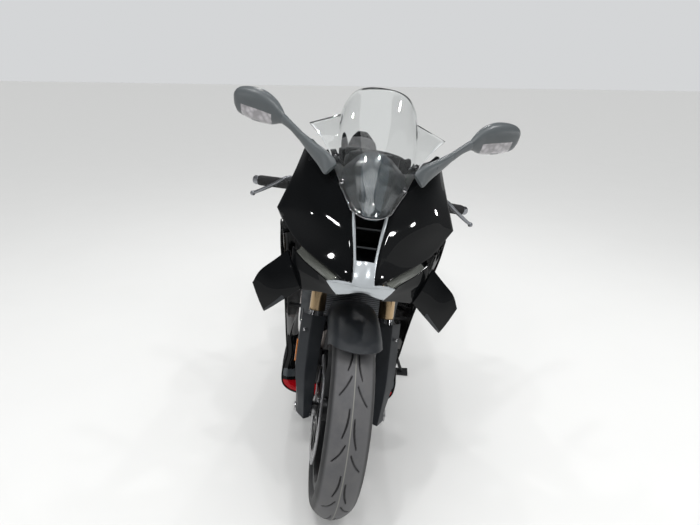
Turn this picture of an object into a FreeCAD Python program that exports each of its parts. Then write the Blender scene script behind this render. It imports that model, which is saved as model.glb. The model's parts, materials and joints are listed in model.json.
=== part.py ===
import FreeCAD, Part
import Sketcher
import math
import os
from FreeCAD import Placement, Rotation, Vector

# A sport bike parked on its side stand, in millimetres.
# The pieces are drawn on the upright bike: x forward, y to the bike's left, z up from the floor.
# Each piece is then leaned on to the stand, and the steered ones are turned to their resting angle.

doc = FreeCAD.newDocument("sport_bike")
sheet = doc.addObject("Spreadsheet::Sheet", "sizes")
sheet_row = 0


class Size(float):
    """A number that remembers the sheet expression it comes from."""

    def __new__(cls, value, text):
        made = super().__new__(cls, value)
        made.text = text
        return made

    def __neg__(self):
        return Size(-float(self), f"-({self.text})")

    def __add__(self, other):
        return Size(float(self) + float(other), f"({self.text} + {written(other)})")

    def __sub__(self, other):
        return Size(float(self) - float(other), f"({self.text} - {written(other)})")

    def __mul__(self, other):
        return Size(float(self) * float(other), f"({self.text} * {written(other)})")

    def __truediv__(self, other):
        return Size(float(self) / float(other), f"({self.text} / {written(other)})")

    def __radd__(self, other):
        return Size(float(other) + float(self), f"({written(other)} + {self.text})")

    def __rsub__(self, other):
        return Size(float(other) - float(self), f"({written(other)} - {self.text})")

    def __rmul__(self, other):
        return Size(float(other) * float(self), f"({written(other)} * {self.text})")


def written(value):
    return value.text if isinstance(value, Size) else repr(float(value))


def size(name, value):
    """Put one driving size on the sheet and hand it back."""
    global sheet_row
    sheet_row += 1
    sheet.set(f"A{sheet_row}", name)
    sheet.set(f"B{sheet_row}", repr(float(value)))
    sheet.setAlias(f"B{sheet_row}", name)
    return Size(value, f"sizes.{name}")


# Stance
swingarm_reach = size("swingarm_reach", 545)
rake = size("rake", 23)
fork_offset = size("fork_offset", 30)
head_z = size("head_z", 820)
lean = size("lean", 7)
rest_turn = size("rest_turn", 3.5)
radiator_x = size("radiator_x", 388)
radiator_gap = size("radiator_gap", 22)

# Wheels: tyre sizes are outer radius and half of the width
front_radius = size("front_radius", 300)
front_half = size("front_half", 59)
front_tyre_depth = size("front_tyre_depth", 84)
rear_radius = size("rear_radius", 316)
rear_half = size("rear_half", 92)
rear_tyre_depth = size("rear_tyre_depth", 100)
flange_height = size("flange_height", 13)
flange_wall = size("flange_wall", 5)
front_bead = size("front_bead", 44)
rear_bead = size("rear_bead", 76)
well_depth = size("well_depth", 13)
barrel_wall = size("barrel_wall", 7)
crown_flat = size("crown_flat", 8)
front_hub_half = size("front_hub_half", 64)
rear_hub_half = size("rear_hub_half", 70)
hub_radius = size("hub_radius", 36)
axle_radius = size("axle_radius", 12.5)
running_gap = size("running_gap", 0.3)
fender_gap = size("fender_gap", 34)
hugger_gap = size("hugger_gap", 14)

# Brakes and chain drive
front_disc_drop = size("front_disc_drop", 56)
rear_disc_radius = size("rear_disc_radius", 110)
disc_thick = size("disc_thick", 5)
chain_line = size("chain_line", 112)
pitch_radius = size("pitch_radius", 108.7)
drive_pitch_radius = size("drive_pitch_radius", 40.7)
drive_x = size("drive_x", -85)
drive_z = size("drive_z", 352)
sprocket_thick = size("sprocket_thick", 5.5)
roller_half = size("roller_half", 5)

# Fork and steering
fork_half = size("fork_half", 106)
tube_radius = size("tube_radius", 24)
slider_radius = size("slider_radius", 21)
lug_radius = size("lug_radius", 27)
stem_radius = size("stem_radius", 15)
head_tube_radius = size("head_tube_radius", 33)
head_tube_length = size("head_tube_length", 124)
clamp_thick = size("clamp_thick", 34)
lift_pin_radius = size("lift_pin_radius", 9)
spool_hole_radius = size("spool_hole_radius", 4)
spool_hole_depth = size("spool_hole_depth", 18)

# Chassis
spar_half = size("spar_half", 119)
spar_wall = size("spar_wall", 28)
spar_foot_z = size("spar_foot_z", 600)
pivot_x = size("pivot_x", -165)
pivot_z = size("pivot_z", 352)
pivot_plate_in = size("pivot_plate_in", 128)
pivot_plate_out = size("pivot_plate_out", 150)
panel_wall = size("panel_wall", 4)
engine_half = size("engine_half", 98)
clutch_reach = size("clutch_reach", 172)
crank_reach = size("crank_reach", 158)
alternator_reach = size("alternator_reach", 166)
cylinder_half = size("cylinder_half", 95)

doc.recompute()

LEFT = 1
RIGHT = -1

# Poses that carry the drawn pieces to where they stand


def turned(axis, angle):
    return Rotation(axis, float(angle))


X_AXIS = Vector(1, 0, 0)
Y_AXIS = Vector(0, 1, 0)
Z_AXIS = Vector(0, 0, 1)
HERE = Vector(0, 0, 0)

sin_rake = math.sin(math.radians(rake))
cos_rake = math.cos(math.radians(rake))
fork_reach = (head_z - (front_radius - fork_offset * sin_rake)) / cos_rake
front_axle_x = radiator_x + radiator_gap + front_radius
head_x = front_axle_x - fork_reach * sin_rake - fork_offset * cos_rake
rear_axle_x = pivot_x - swingarm_reach
front_bead_radius = front_radius - front_tyre_depth
rear_bead_radius = rear_radius - rear_tyre_depth
front_disc_radius = front_bead_radius - front_disc_drop
fender_radius = front_radius + fender_gap

leaned = Placement(HERE, turned(X_AXIS, -lean))
head_pose = Placement(Vector(head_x, 0, head_z), turned(Y_AXIS, -rake))
turn_pose = Placement(HERE, turned(Z_AXIS, rest_turn))
hub_in_fork = Placement(Vector(fork_offset, 0, -fork_reach), turned(Y_AXIS, rake))


def tyre_section(radius, half, bead, bead_radius):
    """Half of a tyre's cross section from crown to bead: radius, distance from the middle."""
    return [
        (radius, crown_flat),
        (radius - half * 0.11, half * 0.44),
        (radius - half * 0.44, half * 0.88),
        (radius - half * 0.83, half),
        (bead_radius + flange_height, bead),
        (bead_radius, bead),
    ]


def lowest(section, hub):
    """Lowest point of a tyre whose hub frame is given, over both sides of its section."""
    axis = hub.Rotation.multVec(Y_AXIS)
    slant = math.sqrt(1 - axis.z ** 2)
    return min(hub.Base.z + side * axis.z * y - r * slant for r, y in section for side in (1, -1))


front_section = tyre_section(front_radius, front_half, front_bead, front_bead_radius)
rear_section = tyre_section(rear_radius, rear_half, rear_bead, rear_bead_radius)

unraised_front = leaned.multiply(head_pose).multiply(turn_pose).multiply(hub_in_fork)
front_low = lowest(front_section, unraised_front)
level_rear = Placement(Vector(rear_axle_x, 0, rear_radius), Rotation())
rear_low = lowest(rear_section, leaned.multiply(level_rear))
rear_axle_z = rear_radius + (front_low - rear_low) / math.cos(math.radians(lean))

chassis = Placement(Vector(0, 0, -front_low), leaned.Rotation)
steering = chassis.multiply(head_pose).multiply(turn_pose)
front_hub = steering.multiply(hub_in_fork)
rear_hub = chassis.multiply(Placement(Vector(rear_axle_x, 0, rear_axle_z), Rotation()))


def along_y(pose):
    """Turn a piece drawn about its own z so that it lies along the pose's y."""
    return pose.multiply(Placement(HERE, turned(X_AXIS, -90)))


# Tools for the plain shapes


def solid_of(faces):
    made = Part.makeSolid(Part.makeShell(faces))
    return made if made.Volume > 0 else made.reversed()


def triangle(a, b, c):
    return Part.Face(Part.makePolygon([a, b, c, a]))


def cap(ring):
    return Part.Face(Part.makePolygon(ring + [ring[0]]))


def skin(rings):
    """A closed solid through rings of corners, all with as many corners, flat at both ends."""
    faces = [cap(rings[0]), cap(rings[-1])]
    for near, far in zip(rings, rings[1:]):
        count = len(near)
        for i in range(count):
            k = (i + 1) % count
            faces.append(triangle(near[i], near[k], far[k]))
            faces.append(triangle(near[i], far[k], far[i]))
    return solid_of(faces)


def between(a, b, c, d, t):
    """The smooth curve through four points in a row, at the share t from b to c."""
    return (b * 2 + (c - a) * t + (a * 2 - b * 5 + c * 4 - d) * t ** 2
            + (b * 3 - a - c * 3 + d) * t ** 3) * 0.5


def smooth(row, steps):
    """More points on the smooth curve through a row of points."""
    ends = [row[0] * 2 - row[1]] + row + [row[-1] * 2 - row[-2]]
    out = []
    for i in range(1, len(ends) - 2):
        out += [between(*ends[i - 1:i + 3], k / steps) for k in range(steps)]
    return out + [row[-1]]


def panel(rows, wall, steps=1, inward=1):
    """A thin shell on a grid of outer points, smooth along its rows, with its wall inward."""
    grid = [smooth([Vector(*p) for p in row], steps) for row in rows]
    high, wide = len(grid), len(grid[0])

    def inner(i, k):
        up = grid[min(i + 1, high - 1)][k] - grid[max(i - 1, 0)][k]
        along = grid[i][min(k + 1, wide - 1)] - grid[i][max(k - 1, 0)]
        return grid[i][k] + up.cross(along).normalize() * wall * inward

    back = [[inner(i, k) for k in range(wide)] for i in range(high)]
    faces = []
    for i in range(high - 1):
        for k in range(wide - 1):
            for g in (grid, back):
                faces.append(triangle(g[i][k], g[i][k + 1], g[i + 1][k + 1]))
                faces.append(triangle(g[i][k], g[i + 1][k + 1], g[i + 1][k]))
    edge = [(0, k) for k in range(wide)] + [(i, wide - 1) for i in range(1, high)]
    edge += [(high - 1, k) for k in range(wide - 2, -1, -1)] + [(i, 0) for i in range(high - 2, 0, -1)]
    for (i, k), (m, n) in zip(edge, edge[1:] + edge[:1]):
        faces.append(triangle(grid[i][k], grid[m][n], back[m][n]))
        faces.append(triangle(grid[i][k], back[m][n], back[i][k]))
    return solid_of(faces)


def mirrored(shape):
    return shape.mirror(HERE, Y_AXIS)


def both(shape):
    return Part.makeCompound([shape, mirrored(shape)])


def rounded_ring(x, half, low, high, share=0.5, count=16):
    """A rounded upright ring across the bike at x. A smaller share makes squarer corners."""
    middle, tall = (low + high) / 2, (high - low) / 2

    def spread(v):
        return math.copysign(abs(v) ** share, v)

    angles = [2 * math.pi * (i + 0.5) / count for i in range(count)]
    return [Vector(x, half * spread(math.cos(a)), middle + tall * spread(math.sin(a))) for a in angles]


def sloped_ring(centre, forward, across, half_across, half_thick, count=8):
    """A rounded ring about a centre, seen along forward, wide in the direction across."""
    ahead = Vector(*forward).normalize()
    side = Vector(*across)
    side = (side - ahead * side.dot(ahead)).normalize()
    thick = ahead.cross(side)
    angles = [2 * math.pi * (i + 0.5) / count for i in range(count)]
    return [Vector(*centre) + side * half_across * math.cos(a) * 1.08
            + thick * half_thick * math.sin(a) * 1.08 for a in angles]


def rod(start, end, radius):
    way = Vector(*end) - Vector(*start)
    return Part.makeCylinder(float(radius), way.Length, Vector(*start), way)


def sleeve(start, end, radius, bore):
    return rod(start, end, radius).cut(rod(start, end, bore))


def tube(points, radius, bend):
    """A round bar along straight runs joined by tangent arcs."""
    corners = [Vector(*p) for p in points]
    edges, here = [], corners[0]
    for a, b, c in zip(corners, corners[1:], corners[2:]):
        before, after = (b - a).normalize(), (c - b).normalize()
        half_turn = before.getAngle(after) / 2
        back_off = bend * math.tan(half_turn)
        first, last = b - before * back_off, b + after * back_off
        inside = (after - before).normalize()
        middle = b + inside * (bend / math.cos(half_turn) - bend)
        edges.append(Part.makeLine(here, first))
        edges.append(Part.Arc(first, middle, last).toShape())
        here = last
    edges.append(Part.makeLine(here, corners[-1]))
    path = Part.Wire(edges)
    ring = Part.Wire(Part.makeCircle(float(radius), corners[0], corners[1] - corners[0]))
    return path.makePipeShell([ring], True, True)


def bar(start, end, wide, thick, wide_end=None, across=(0, 1, 0)):
    """A four-sided bar from start to end, wide in the direction across."""
    wide_end = wide if wide_end is None else wide_end
    a, b = Vector(*start), Vector(*end)
    ahead = (b - a).normalize()
    side = Vector(*across)
    side = (side - ahead * side.dot(ahead)).normalize()
    lift = ahead.cross(side)

    def corners(at, w):
        return [at + side * w * u / 2 + lift * thick * v / 2 for u, v in ((1, 1), (-1, 1), (-1, -1), (1, -1))]

    return skin([corners(a, wide), corners(b, wide_end)])


def plate(corners, y_start, y_end):
    """A flat plate with the side outline given as x, z."""
    points = [Vector(x, float(y_start), z) for x, z in corners]
    return cap(points).extrude(Vector(0, float(y_end - y_start), 0))


def fused(shapes):
    return shapes[0].multiFuse(shapes[1:]).removeSplitter()


def largest(shape):
    return max(shape.Solids, key=lambda solid: solid.Volume)


pieces = []


def piece(label, shape, pose):
    item = doc.addObject("Part::Feature", label)
    item.Label = label
    item.Shape = shape
    item.Placement = pose.multiply(shape.Placement)
    pieces.append(item)
    return item


# Tools for the turned and sketched pieces


def new_body(label, pose):
    body = doc.addObject("PartDesign::Body", label)
    body.Label = label
    body.Placement = pose
    pieces.append(body)
    return body


def flat_sketch(body, name, role, lift=0):
    plane = next(f for f in body.Origin.OriginFeatures if f.Role == role)
    sketch = body.newObject("Sketcher::SketchObject", name)
    sketch.AttachmentSupport = (plane, [""])
    sketch.MapMode = "FlatFace"
    sketch.AttachmentOffset = Placement(Vector(0, 0, float(lift)), Rotation())
    if isinstance(lift, Size):
        sketch.setExpression("AttachmentOffset.Base.z", lift.text)
    return sketch


def hold(sketch, kind, *where):
    """Hold a sketch distance to a value, bound to the sheet where the value comes from it."""
    index = sketch.addConstraint(Sketcher.Constraint(kind, *where[:-1], float(where[-1])))
    if isinstance(where[-1], Size):
        sketch.setExpression(f"Constraints[{index}]", where[-1].text)


def outline(sketch, corners):
    """A closed outline of straight lines whose corners are held to the sketch's axes."""
    first = sketch.GeometryCount
    count = len(corners)
    ends = [Vector(float(x), float(y), 0) for x, y in corners]
    sketch.addGeometry([Part.LineSegment(ends[i], ends[(i + 1) % count]) for i in range(count)], False)
    for i in range(count):
        sketch.addConstraint(Sketcher.Constraint("Coincident", first + i, 2, first + (i + 1) % count, 1))
    for i, (x, y) in enumerate(corners):
        hold(sketch, "DistanceX", -1, 1, first + i, 1, x)
        hold(sketch, "DistanceY", -1, 1, first + i, 1, y)


def circle(sketch, x, y, radius):
    index = sketch.addGeometry(Part.Circle(Vector(float(x), float(y), 0), Z_AXIS, float(radius)), False)
    hold(sketch, "Radius", index, radius)
    hold(sketch, "DistanceX", -1, 1, index, 3, x)
    hold(sketch, "DistanceY", -1, 1, index, 3, y)


def bound(feature, name, value):
    setattr(feature, name, float(value))
    if isinstance(value, Size):
        feature.setExpression(name, value.text)


def pad(body, sketch, length, symmetric=False, reverse=False):
    made = body.newObject("PartDesign::Pad", sketch.Name + "_pad")
    made.Profile = sketch
    made.SideType = "Symmetric" if symmetric else "One side"
    made.Reversed = reverse
    bound(made, "Length", length)
    body.Tip = made
    return made


def spun(body, sketch):
    """The sketch turned a whole turn about its upright axis."""
    made = body.newObject("PartDesign::Revolution", sketch.Name + "_turn")
    made.Profile = sketch
    made.ReferenceAxis = (sketch, ["V_Axis"])
    made.Angle = 360
    body.Tip = made
    return made


def around(body, feature, count):
    """The feature repeated evenly about the body's z axis."""
    doc.recompute()
    made = body.newObject("PartDesign::PolarPattern", feature.Name + "_round")
    made.Originals = [feature]
    made.Axis = (next(f for f in body.Origin.OriginFeatures if f.Role == "Z_Axis"), [""])
    made.Angle = 360
    made.Occurrences = count
    body.Tip = made
    return made


def there_and_back(half):
    """A whole section from its upper half: the same corners again below the middle."""
    return [(r, y) for r, y in half] + [(r, -y) for r, y in reversed(half)]


# Tyres and rims, drawn about z with the width along z


def tyre(label, section, pose):
    body = new_body(label, along_y(pose))
    outline(flat_sketch(body, label + "_section", "XZ_Plane"), there_and_back(section))
    spun(body, body.Group[-1])


def rim(label, bead, bead_radius, hub_half, spoke_thick, pose):
    body = new_body(label, along_y(pose))
    lip = bead_radius + flange_height
    well_radius = bead_radius - well_depth
    half = [
        (lip, bead + flange_wall),
        (lip, bead),
        (bead_radius, bead),
        (bead_radius, bead - 14),
        (well_radius, bead - 26),
    ]
    under = [
        (well_radius - barrel_wall, bead - 26),
        (bead_radius - barrel_wall, bead + flange_wall),
    ]
    corners = half + [(r, -y) for r, y in reversed(half)]
    corners += [(r, -y) for r, y in reversed(under)] + under
    outline(flat_sketch(body, label + "_section", "XZ_Plane"), corners)
    spun(body, body.Group[-1])
    hub = flat_sketch(body, label + "_hub", "XY_Plane")
    circle(hub, 0, 0, hub_radius)
    pad(body, hub, hub_half * 2, symmetric=True)
    spoke = flat_sketch(body, label + "_spoke", "XY_Plane")
    root, fork, tip = hub_radius - 6, well_radius * 0.5, well_radius - barrel_wall + 3
    outline(spoke, [
        (root, 19), (fork, 17), (tip * 0.97, 52), (tip * 0.985, 38), (fork + 26, 5),
        (fork + 26, -5), (tip * 0.985, -38), (tip * 0.97, -52), (fork, -17), (root, -19),
    ])
    arm = pad(body, spoke, spoke_thick, symmetric=True)
    around(body, arm, 5)
    doc.recompute()
    bore = flat_sketch(body, label + "_bore", "XY_Plane")
    circle(bore, 0, 0, axle_radius + running_gap)
    cut = body.newObject("PartDesign::Pocket", label + "_bore_cut")
    cut.Profile = bore
    cut.SideType = "Symmetric"
    bound(cut, "Length", hub_half * 2 + 4)
    body.Tip = cut


tyre("front_tyre", front_section, front_hub)
tyre("rear_tyre", rear_section, rear_hub)
rim("front_rim", front_bead, front_bead_radius, front_hub_half, 24, front_hub)
rim("rear_rim", rear_bead, rear_bead_radius, rear_hub_half, 30, rear_hub)

# Brake discs and the rear sprocket, each seated on the hub's end


def disc(body, name, radius, lift, band, arms):
    """A ring of the given band, carried by arms on an inner ring with the hub's radius."""
    ring = flat_sketch(body, name + "_ring", "XY_Plane", lift)
    circle(ring, 0, 0, radius)
    circle(ring, 0, 0, radius - band)
    pad(body, ring, disc_thick)
    centre = flat_sketch(body, name + "_centre", "XY_Plane", lift)
    circle(centre, 0, 0, hub_radius + 12)
    circle(centre, 0, 0, axle_radius + running_gap)
    pad(body, centre, disc_thick)
    web = flat_sketch(body, name + "_web", "XY_Plane", lift)
    root, tip = hub_radius + 4, radius - band + 4
    outline(web, [(root, 11), (tip, 7), (tip, -7), (root, -11)])
    around(body, pad(body, web, disc_thick), arms)


for side, word in ((LEFT, "left"), (RIGHT, "right")):
    seat = front_hub_half if side == LEFT else -(front_hub_half + disc_thick)
    body = new_body(f"front_disc_{word}", along_y(front_hub))
    disc(body, f"front_disc_{word}", front_disc_radius, seat, 34, 8)

rear_disc_gap = size("rear_disc_gap", 22)
body = new_body("rear_disc", along_y(rear_hub))
disc(body, "rear_disc", rear_disc_radius, -rear_hub_half - rear_disc_gap - disc_thick, 30, 6)
hat = flat_sketch(body, "rear_disc_hat", "XY_Plane", -rear_hub_half - rear_disc_gap)
circle(hat, 0, 0, hub_radius + 6)
circle(hat, 0, 0, axle_radius + running_gap)
pad(body, hat, rear_disc_gap)

tooth_tip = pitch_radius - roller_half - 0.7
tooth_count = 43
sprocket_face = chain_line - sprocket_thick / 2
body = new_body("rear_sprocket", along_y(rear_hub))
blank = flat_sketch(body, "rear_sprocket_blank", "XY_Plane", sprocket_face)
circle(blank, 0, 0, tooth_tip - 8)
circle(blank, 0, 0, pitch_radius - 34)
pad(body, blank, sprocket_thick)
tooth = flat_sketch(body, "rear_sprocket_tooth", "XY_Plane", sprocket_face)
outline(tooth, [(tooth_tip - 9, 5), (tooth_tip, 1.6), (tooth_tip, -1.6), (tooth_tip - 9, -5)])
around(body, pad(body, tooth, sprocket_thick), tooth_count)
web = flat_sketch(body, "rear_sprocket_web", "XY_Plane", sprocket_face)
outline(web, [(hub_radius - 6, 12), (pitch_radius - 30, 12), (pitch_radius - 30, -12), (hub_radius - 6, -12)])
around(body, pad(body, web, sprocket_thick), 5)
boss = flat_sketch(body, "rear_sprocket_boss", "XY_Plane", rear_hub_half)
circle(boss, 0, 0, hub_radius)
circle(boss, 0, 0, axle_radius + running_gap)
pad(body, boss, sprocket_face + sprocket_thick - rear_hub_half)

# Chain: one fixed loop round both sprockets, rollers inside and side plates on every other link


def chain_shape():
    gap_x, gap_z = drive_x - rear_axle_x, drive_z - rear_axle_z
    reach = math.hypot(gap_x, gap_z)
    tilt = math.atan2(gap_z, gap_x)
    flank = math.asin((pitch_radius - drive_pitch_radius) / reach)

    def loop(grow, y):
        """The loop's outline, grown past the pitch line, as one wire at y."""
        ends = []
        for centre_x, centre_z, radius in ((rear_axle_x, rear_axle_z, pitch_radius + grow),
                                           (drive_x, drive_z, drive_pitch_radius + grow)):
            top = tilt + math.pi / 2 - flank
            low = tilt - math.pi / 2 + flank
            ends.append([Vector(centre_x + radius * math.cos(a), y, centre_z + radius * math.sin(a))
                         for a in (top, low)])
        back = tilt + math.pi
        rear_mid = Vector(rear_axle_x + (pitch_radius + grow) * math.cos(back), y,
                          rear_axle_z + (pitch_radius + grow) * math.sin(back))
        front_mid = Vector(drive_x + (drive_pitch_radius + grow) * math.cos(tilt), y,
                           drive_z + (drive_pitch_radius + grow) * math.sin(tilt))
        (rear_top, rear_under), (front_top, front_under) = ends
        return Part.Wire([
            Part.makeLine(rear_top, front_top),
            Part.Arc(front_top, front_mid, front_under).toShape(),
            Part.makeLine(front_under, rear_under),
            Part.Arc(rear_under, rear_mid, rear_top).toShape(),
        ])

    def band(grow, y_start, y_end):
        face = Part.Face([loop(grow, y_start), loop(-grow, y_start)])
        face.validate()
        return face.extrude(Vector(0, y_end - y_start, 0))

    rollers = band(roller_half, chain_line - 4, chain_line + 4)
    pitch_line = loop(0, chain_line)
    links = int(pitch_line.Length / 31.75)
    posts = []
    for k in range(links):
        here = pitch_line.discretize(Number=links * 4 + 1)[k * 4]
        nxt = pitch_line.discretize(Number=links * 4 + 1)[k * 4 + 1]
        way = (nxt - here).normalize()
        lift = Vector(-way.z, 0, way.x)
        corners = [here + way * u + lift * v for u, v in ((-11, -4), (-8, -7), (8, -7), (11, -4),
                                                          (11, 4), (8, 7), (-8, 7), (-11, 4))]
        for y_start, y_end in ((-8, -4), (4, 8)):
            face = cap([Vector(p.x, chain_line + y_start, p.z) for p in corners])
            posts.append(face.extrude(Vector(0, y_end - y_start, 0)))
    return Part.makeCompound([rollers]).multiFuse(posts)


chain = chain_shape()
piece("chain", chain.Solids[0] if len(chain.Solids) == 1 else chain, chassis)

# Fork, in the steering frame: origin on the steering axis at the head, z up the axis, x ahead

upper_clamp_z = 86
lower_clamp_z = -104
tube_low = -fork_reach + 290
tube_high = upper_clamp_z + 46


def fork_pair(make):
    return Part.makeCompound([make(side * fork_half) for side in (LEFT, RIGHT)])


def outer_tube(y):
    foot, shoulder, top = [Vector(fork_offset, y, z) for z in (tube_low, tube_high - 8, tube_high)]
    bored = sleeve(foot, shoulder, tube_radius, slider_radius + running_gap)
    return bored.fuse(rod(shoulder, top, tube_radius))


def slider(y):
    leg = rod((fork_offset, y, -fork_reach + 8), (fork_offset, y, tube_low + 90), slider_radius)
    lug = rod((fork_offset, y - 22, -fork_reach), (fork_offset, y + 22, -fork_reach), lug_radius)
    bore = rod((fork_offset, y - 30, -fork_reach), (fork_offset, y + 30, -fork_reach), axle_radius)
    return leg.fuse(lug).cut(bore)


piece("fork_tubes", fork_pair(outer_tube), steering)
piece("fork_sliders", fork_pair(slider), steering)


def clamp(label, z, thick, ahead, behind):
    """A triple clamp: a plate with two rings for the tubes and a waist at the stem."""
    body = new_body(label, steering)
    sketch = flat_sketch(body, label + "_plan", "XY_Plane", z)
    edge = fork_half + tube_radius + 10
    waist = fork_half - tube_radius - 6
    tail = fork_offset - tube_radius - 4
    outline(sketch, [
        (fork_offset + tube_radius + 8, edge - 16), (fork_offset + tube_radius + 8, waist), (ahead, 40),
        (ahead, -40), (fork_offset + tube_radius + 8, -waist), (fork_offset + tube_radius + 8, -edge + 16),
        (fork_offset, -edge), (tail, -edge + 12), (tail, -waist), (behind, -24), (behind, 24),
        (tail, waist), (tail, edge - 12), (fork_offset, edge),
    ])
    pad(body, sketch, thick)
    doc.recompute()
    holes = flat_sketch(body, label + "_holes", "XY_Plane", z)
    for y in (fork_half, -fork_half):
        circle(holes, fork_offset, y, tube_radius + running_gap)
    cut = body.newObject("PartDesign::Pocket", label + "_cut")
    cut.Profile = holes
    cut.SideType = "Symmetric"
    cut.Length = 200
    body.Tip = cut
    return body


body = clamp("lower_clamp", lower_clamp_z, clamp_thick, 34, -34)
doc.recompute()
stem = flat_sketch(body, "stem", "XY_Plane", lower_clamp_z + clamp_thick)
circle(stem, 0, 0, stem_radius)
pad(body, stem, upper_clamp_z - lower_clamp_z - clamp_thick)
doc.recompute()
lift_hole = flat_sketch(body, "lift_hole", "XY_Plane", lower_clamp_z)
circle(lift_hole, 0, 0, lift_pin_radius)
lift_cut = body.newObject("PartDesign::Pocket", "lift_hole_cut")
lift_cut.Profile = lift_hole
lift_cut.Reversed = True
lift_cut.Length = 45
body.Tip = lift_cut
body = clamp("upper_clamp", upper_clamp_z, 22, 26, -30)


def to_fork(point):
    return head_pose.inverse().multVec(Vector(*point))


def bar_half(side):
    """Clip-on ring, bar, grip with its end weight, and the lever with its perch."""
    ring_z = upper_clamp_z + 22.3
    y = side * fork_half
    ring = sleeve((fork_offset, y, ring_z), (fork_offset, y, tube_high - 2),
                  tube_radius + 9, tube_radius + running_gap)
    inner = to_fork((428, side * 150, 905))
    outer = to_fork((325, side * 352, 880))
    start = Vector(fork_offset - 8, side * (fork_half + tube_radius + 3), ring_z + 11)
    tube_part = rod(start, outer, 11)
    way = (outer - inner).normalize()
    grip = rod(outer - way * 128, outer - way * 12, 16.5)
    weight = rod(outer - way * 12, outer + way * 8, 14.5)
    perch_at = outer - way * 150
    perch = bar(perch_at, perch_at + Vector(40, 0, 8), 26, 20, 18)
    tip = to_fork((437, side * 349, 861))
    bend = perch_at + Vector(66, side * 30, 4)
    lever = bar(perch_at + Vector(34, 0, 8), bend, 14, 9, 12, across=(1, 0, 0))
    blade = bar(bend, tip, 12, 8, 8, across=(1, 0, 0))
    joint = Part.makeSphere(8, bend)
    ball = Part.makeSphere(8, tip)
    return fused([ring, tube_part, grip, weight, perch, lever, blade, joint, ball])


piece("handlebars", Part.makeCompound([bar_half(LEFT), bar_half(RIGHT)]), steering)

# Front axle, with the collars that space the wheel between the fork lugs


def front_axle_shape():
    inner_lug = float(fork_half) - 22
    rest = float(front_hub_half + disc_thick + running_gap)
    shaft = rod((0, -fork_half - 30, 0), (0, fork_half + 30, 0), axle_radius)
    collars = [rod((0, s * rest, 0), (0, s * (inner_lug - 0.3), 0), 20) for s in (LEFT, RIGHT)]
    head = rod((0, fork_half + 22.3, 0), (0, fork_half + 32, 0), 19)
    return fused([shaft, head] + collars)


piece("front_axle", front_axle_shape(), front_hub)

# Front calipers, astride the discs behind the fork legs


def caliper(radius, angle, y_middle, body_half, length, tall):
    """A block astride a disc, its slot open towards the axle."""
    corner = Vector(-length / 2, y_middle - body_half, radius - tall + 12)
    block = Part.makeBox(length, 2 * body_half, tall, corner)
    slot_half = float(disc_thick) / 2 + 2
    slot_corner = Vector(-length / 2 - 1, y_middle - slot_half, radius - tall + 5)
    slot = Part.makeBox(length + 2, 2 * slot_half, tall, slot_corner)
    made = block.cut(slot)
    made.rotate(HERE, Y_AXIS, angle)
    return made


def front_caliper(side):
    middle = side * float(front_hub_half + disc_thick / 2)
    block = caliper(front_disc_radius, -62, middle, 16, 112, 58)
    reach = front_disc_radius / 160
    arm = bar((-150 * reach, side * 92, 70 * reach), (-12, side * 92, 22), 20, 34)
    foot = bar((-138 * reach, side * 92, 52 * reach), (-128 * reach, side * 86, 84 * reach), 24, 40)
    up_the_leg = Vector(-sin_rake, 0, cos_rake) * 300
    foot_of_leg = Vector(0, side * fork_half, 0)
    return fused([block, arm, foot]).cut([
        rod((0, -200, 0), (0, 200, 0), lug_radius + running_gap),
        rod(foot_of_leg, foot_of_leg + up_the_leg, slider_radius + running_gap),
    ])


piece("front_calipers", Part.makeCompound([front_caliper(LEFT), front_caliper(RIGHT)]), front_hub)

# Front fender over the tyre, and the guards in front of the fork legs

fender_stud_reach = fender_radius - 62.4


def fender_shape():
    rows = []
    for y, drop in ((-74, 70), (-70, 34), (-50, 10), (0, 0), (50, 10), (70, 34), (74, 70)):
        row = []
        for degrees in (60, 80, 100, 120, 140, 160):
            radius = fender_radius - drop
            a = math.radians(degrees)
            row.append((radius * math.cos(a), y, radius * math.sin(a)))
        rows.append(row)
    x, z = -fender_stud_reach * sin_rake, fender_stud_reach * cos_rake
    studs = [rod((x, side * 71, z), (x, side * (fork_half - slider_radius - running_gap), z), 8)
             for side in (LEFT, RIGHT)]
    return fused([panel(rows, 3, steps=3, inward=-1)] + studs)


def guard_shape():
    """A wrap in front of the left fork leg: rows from the top down, each from the outside round."""
    rows = [
        [(-130, 150, 262), (-84, 149, 270), (-56, 120, 276), (-66, 78, 272)],
        [(-96, 151, 190), (-52, 150, 190), (-22, 122, 190), (-34, 84, 190)],
        [(-70, 150, 110), (-12, 148, 110), (22, 120, 110), (4, 86, 110)],
        [(-36, 138, 40), (28, 130, 40), (56, 112, 40), (44, 88, 40)],
        [(34, 131, 6), (46, 124, 6), (68, 108, 6), (58, 92, 6)],
    ]
    wrap = panel(rows, 3, inward=1)
    studs = []
    for z in (120, 200):
        x = -z * sin_rake / cos_rake
        studs.append(rod((x, fork_half + slider_radius + running_gap, z), (x, 149, z), 7))
    return fused([wrap] + studs).cut(rod((0, 0, 0), (0, 200, 0), lug_radius + running_gap))


piece("front_fender", fender_shape(), front_hub)
piece("fork_guards", both(guard_shape()), front_hub)

# Frame: head tube, two spars, pivot plates and the lug that carries the side stand

stand_pivot = Vector(-40, 186, 266)
stand_down = Vector(0.15, 0.45, -0.88).normalize()
stand_up = Vector(-0.98, 0.08, -0.15).normalize()
stand_axis = stand_down.cross(stand_up).normalize()
stand_lug_radius = 17
stand_pin_radius = 6


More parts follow.
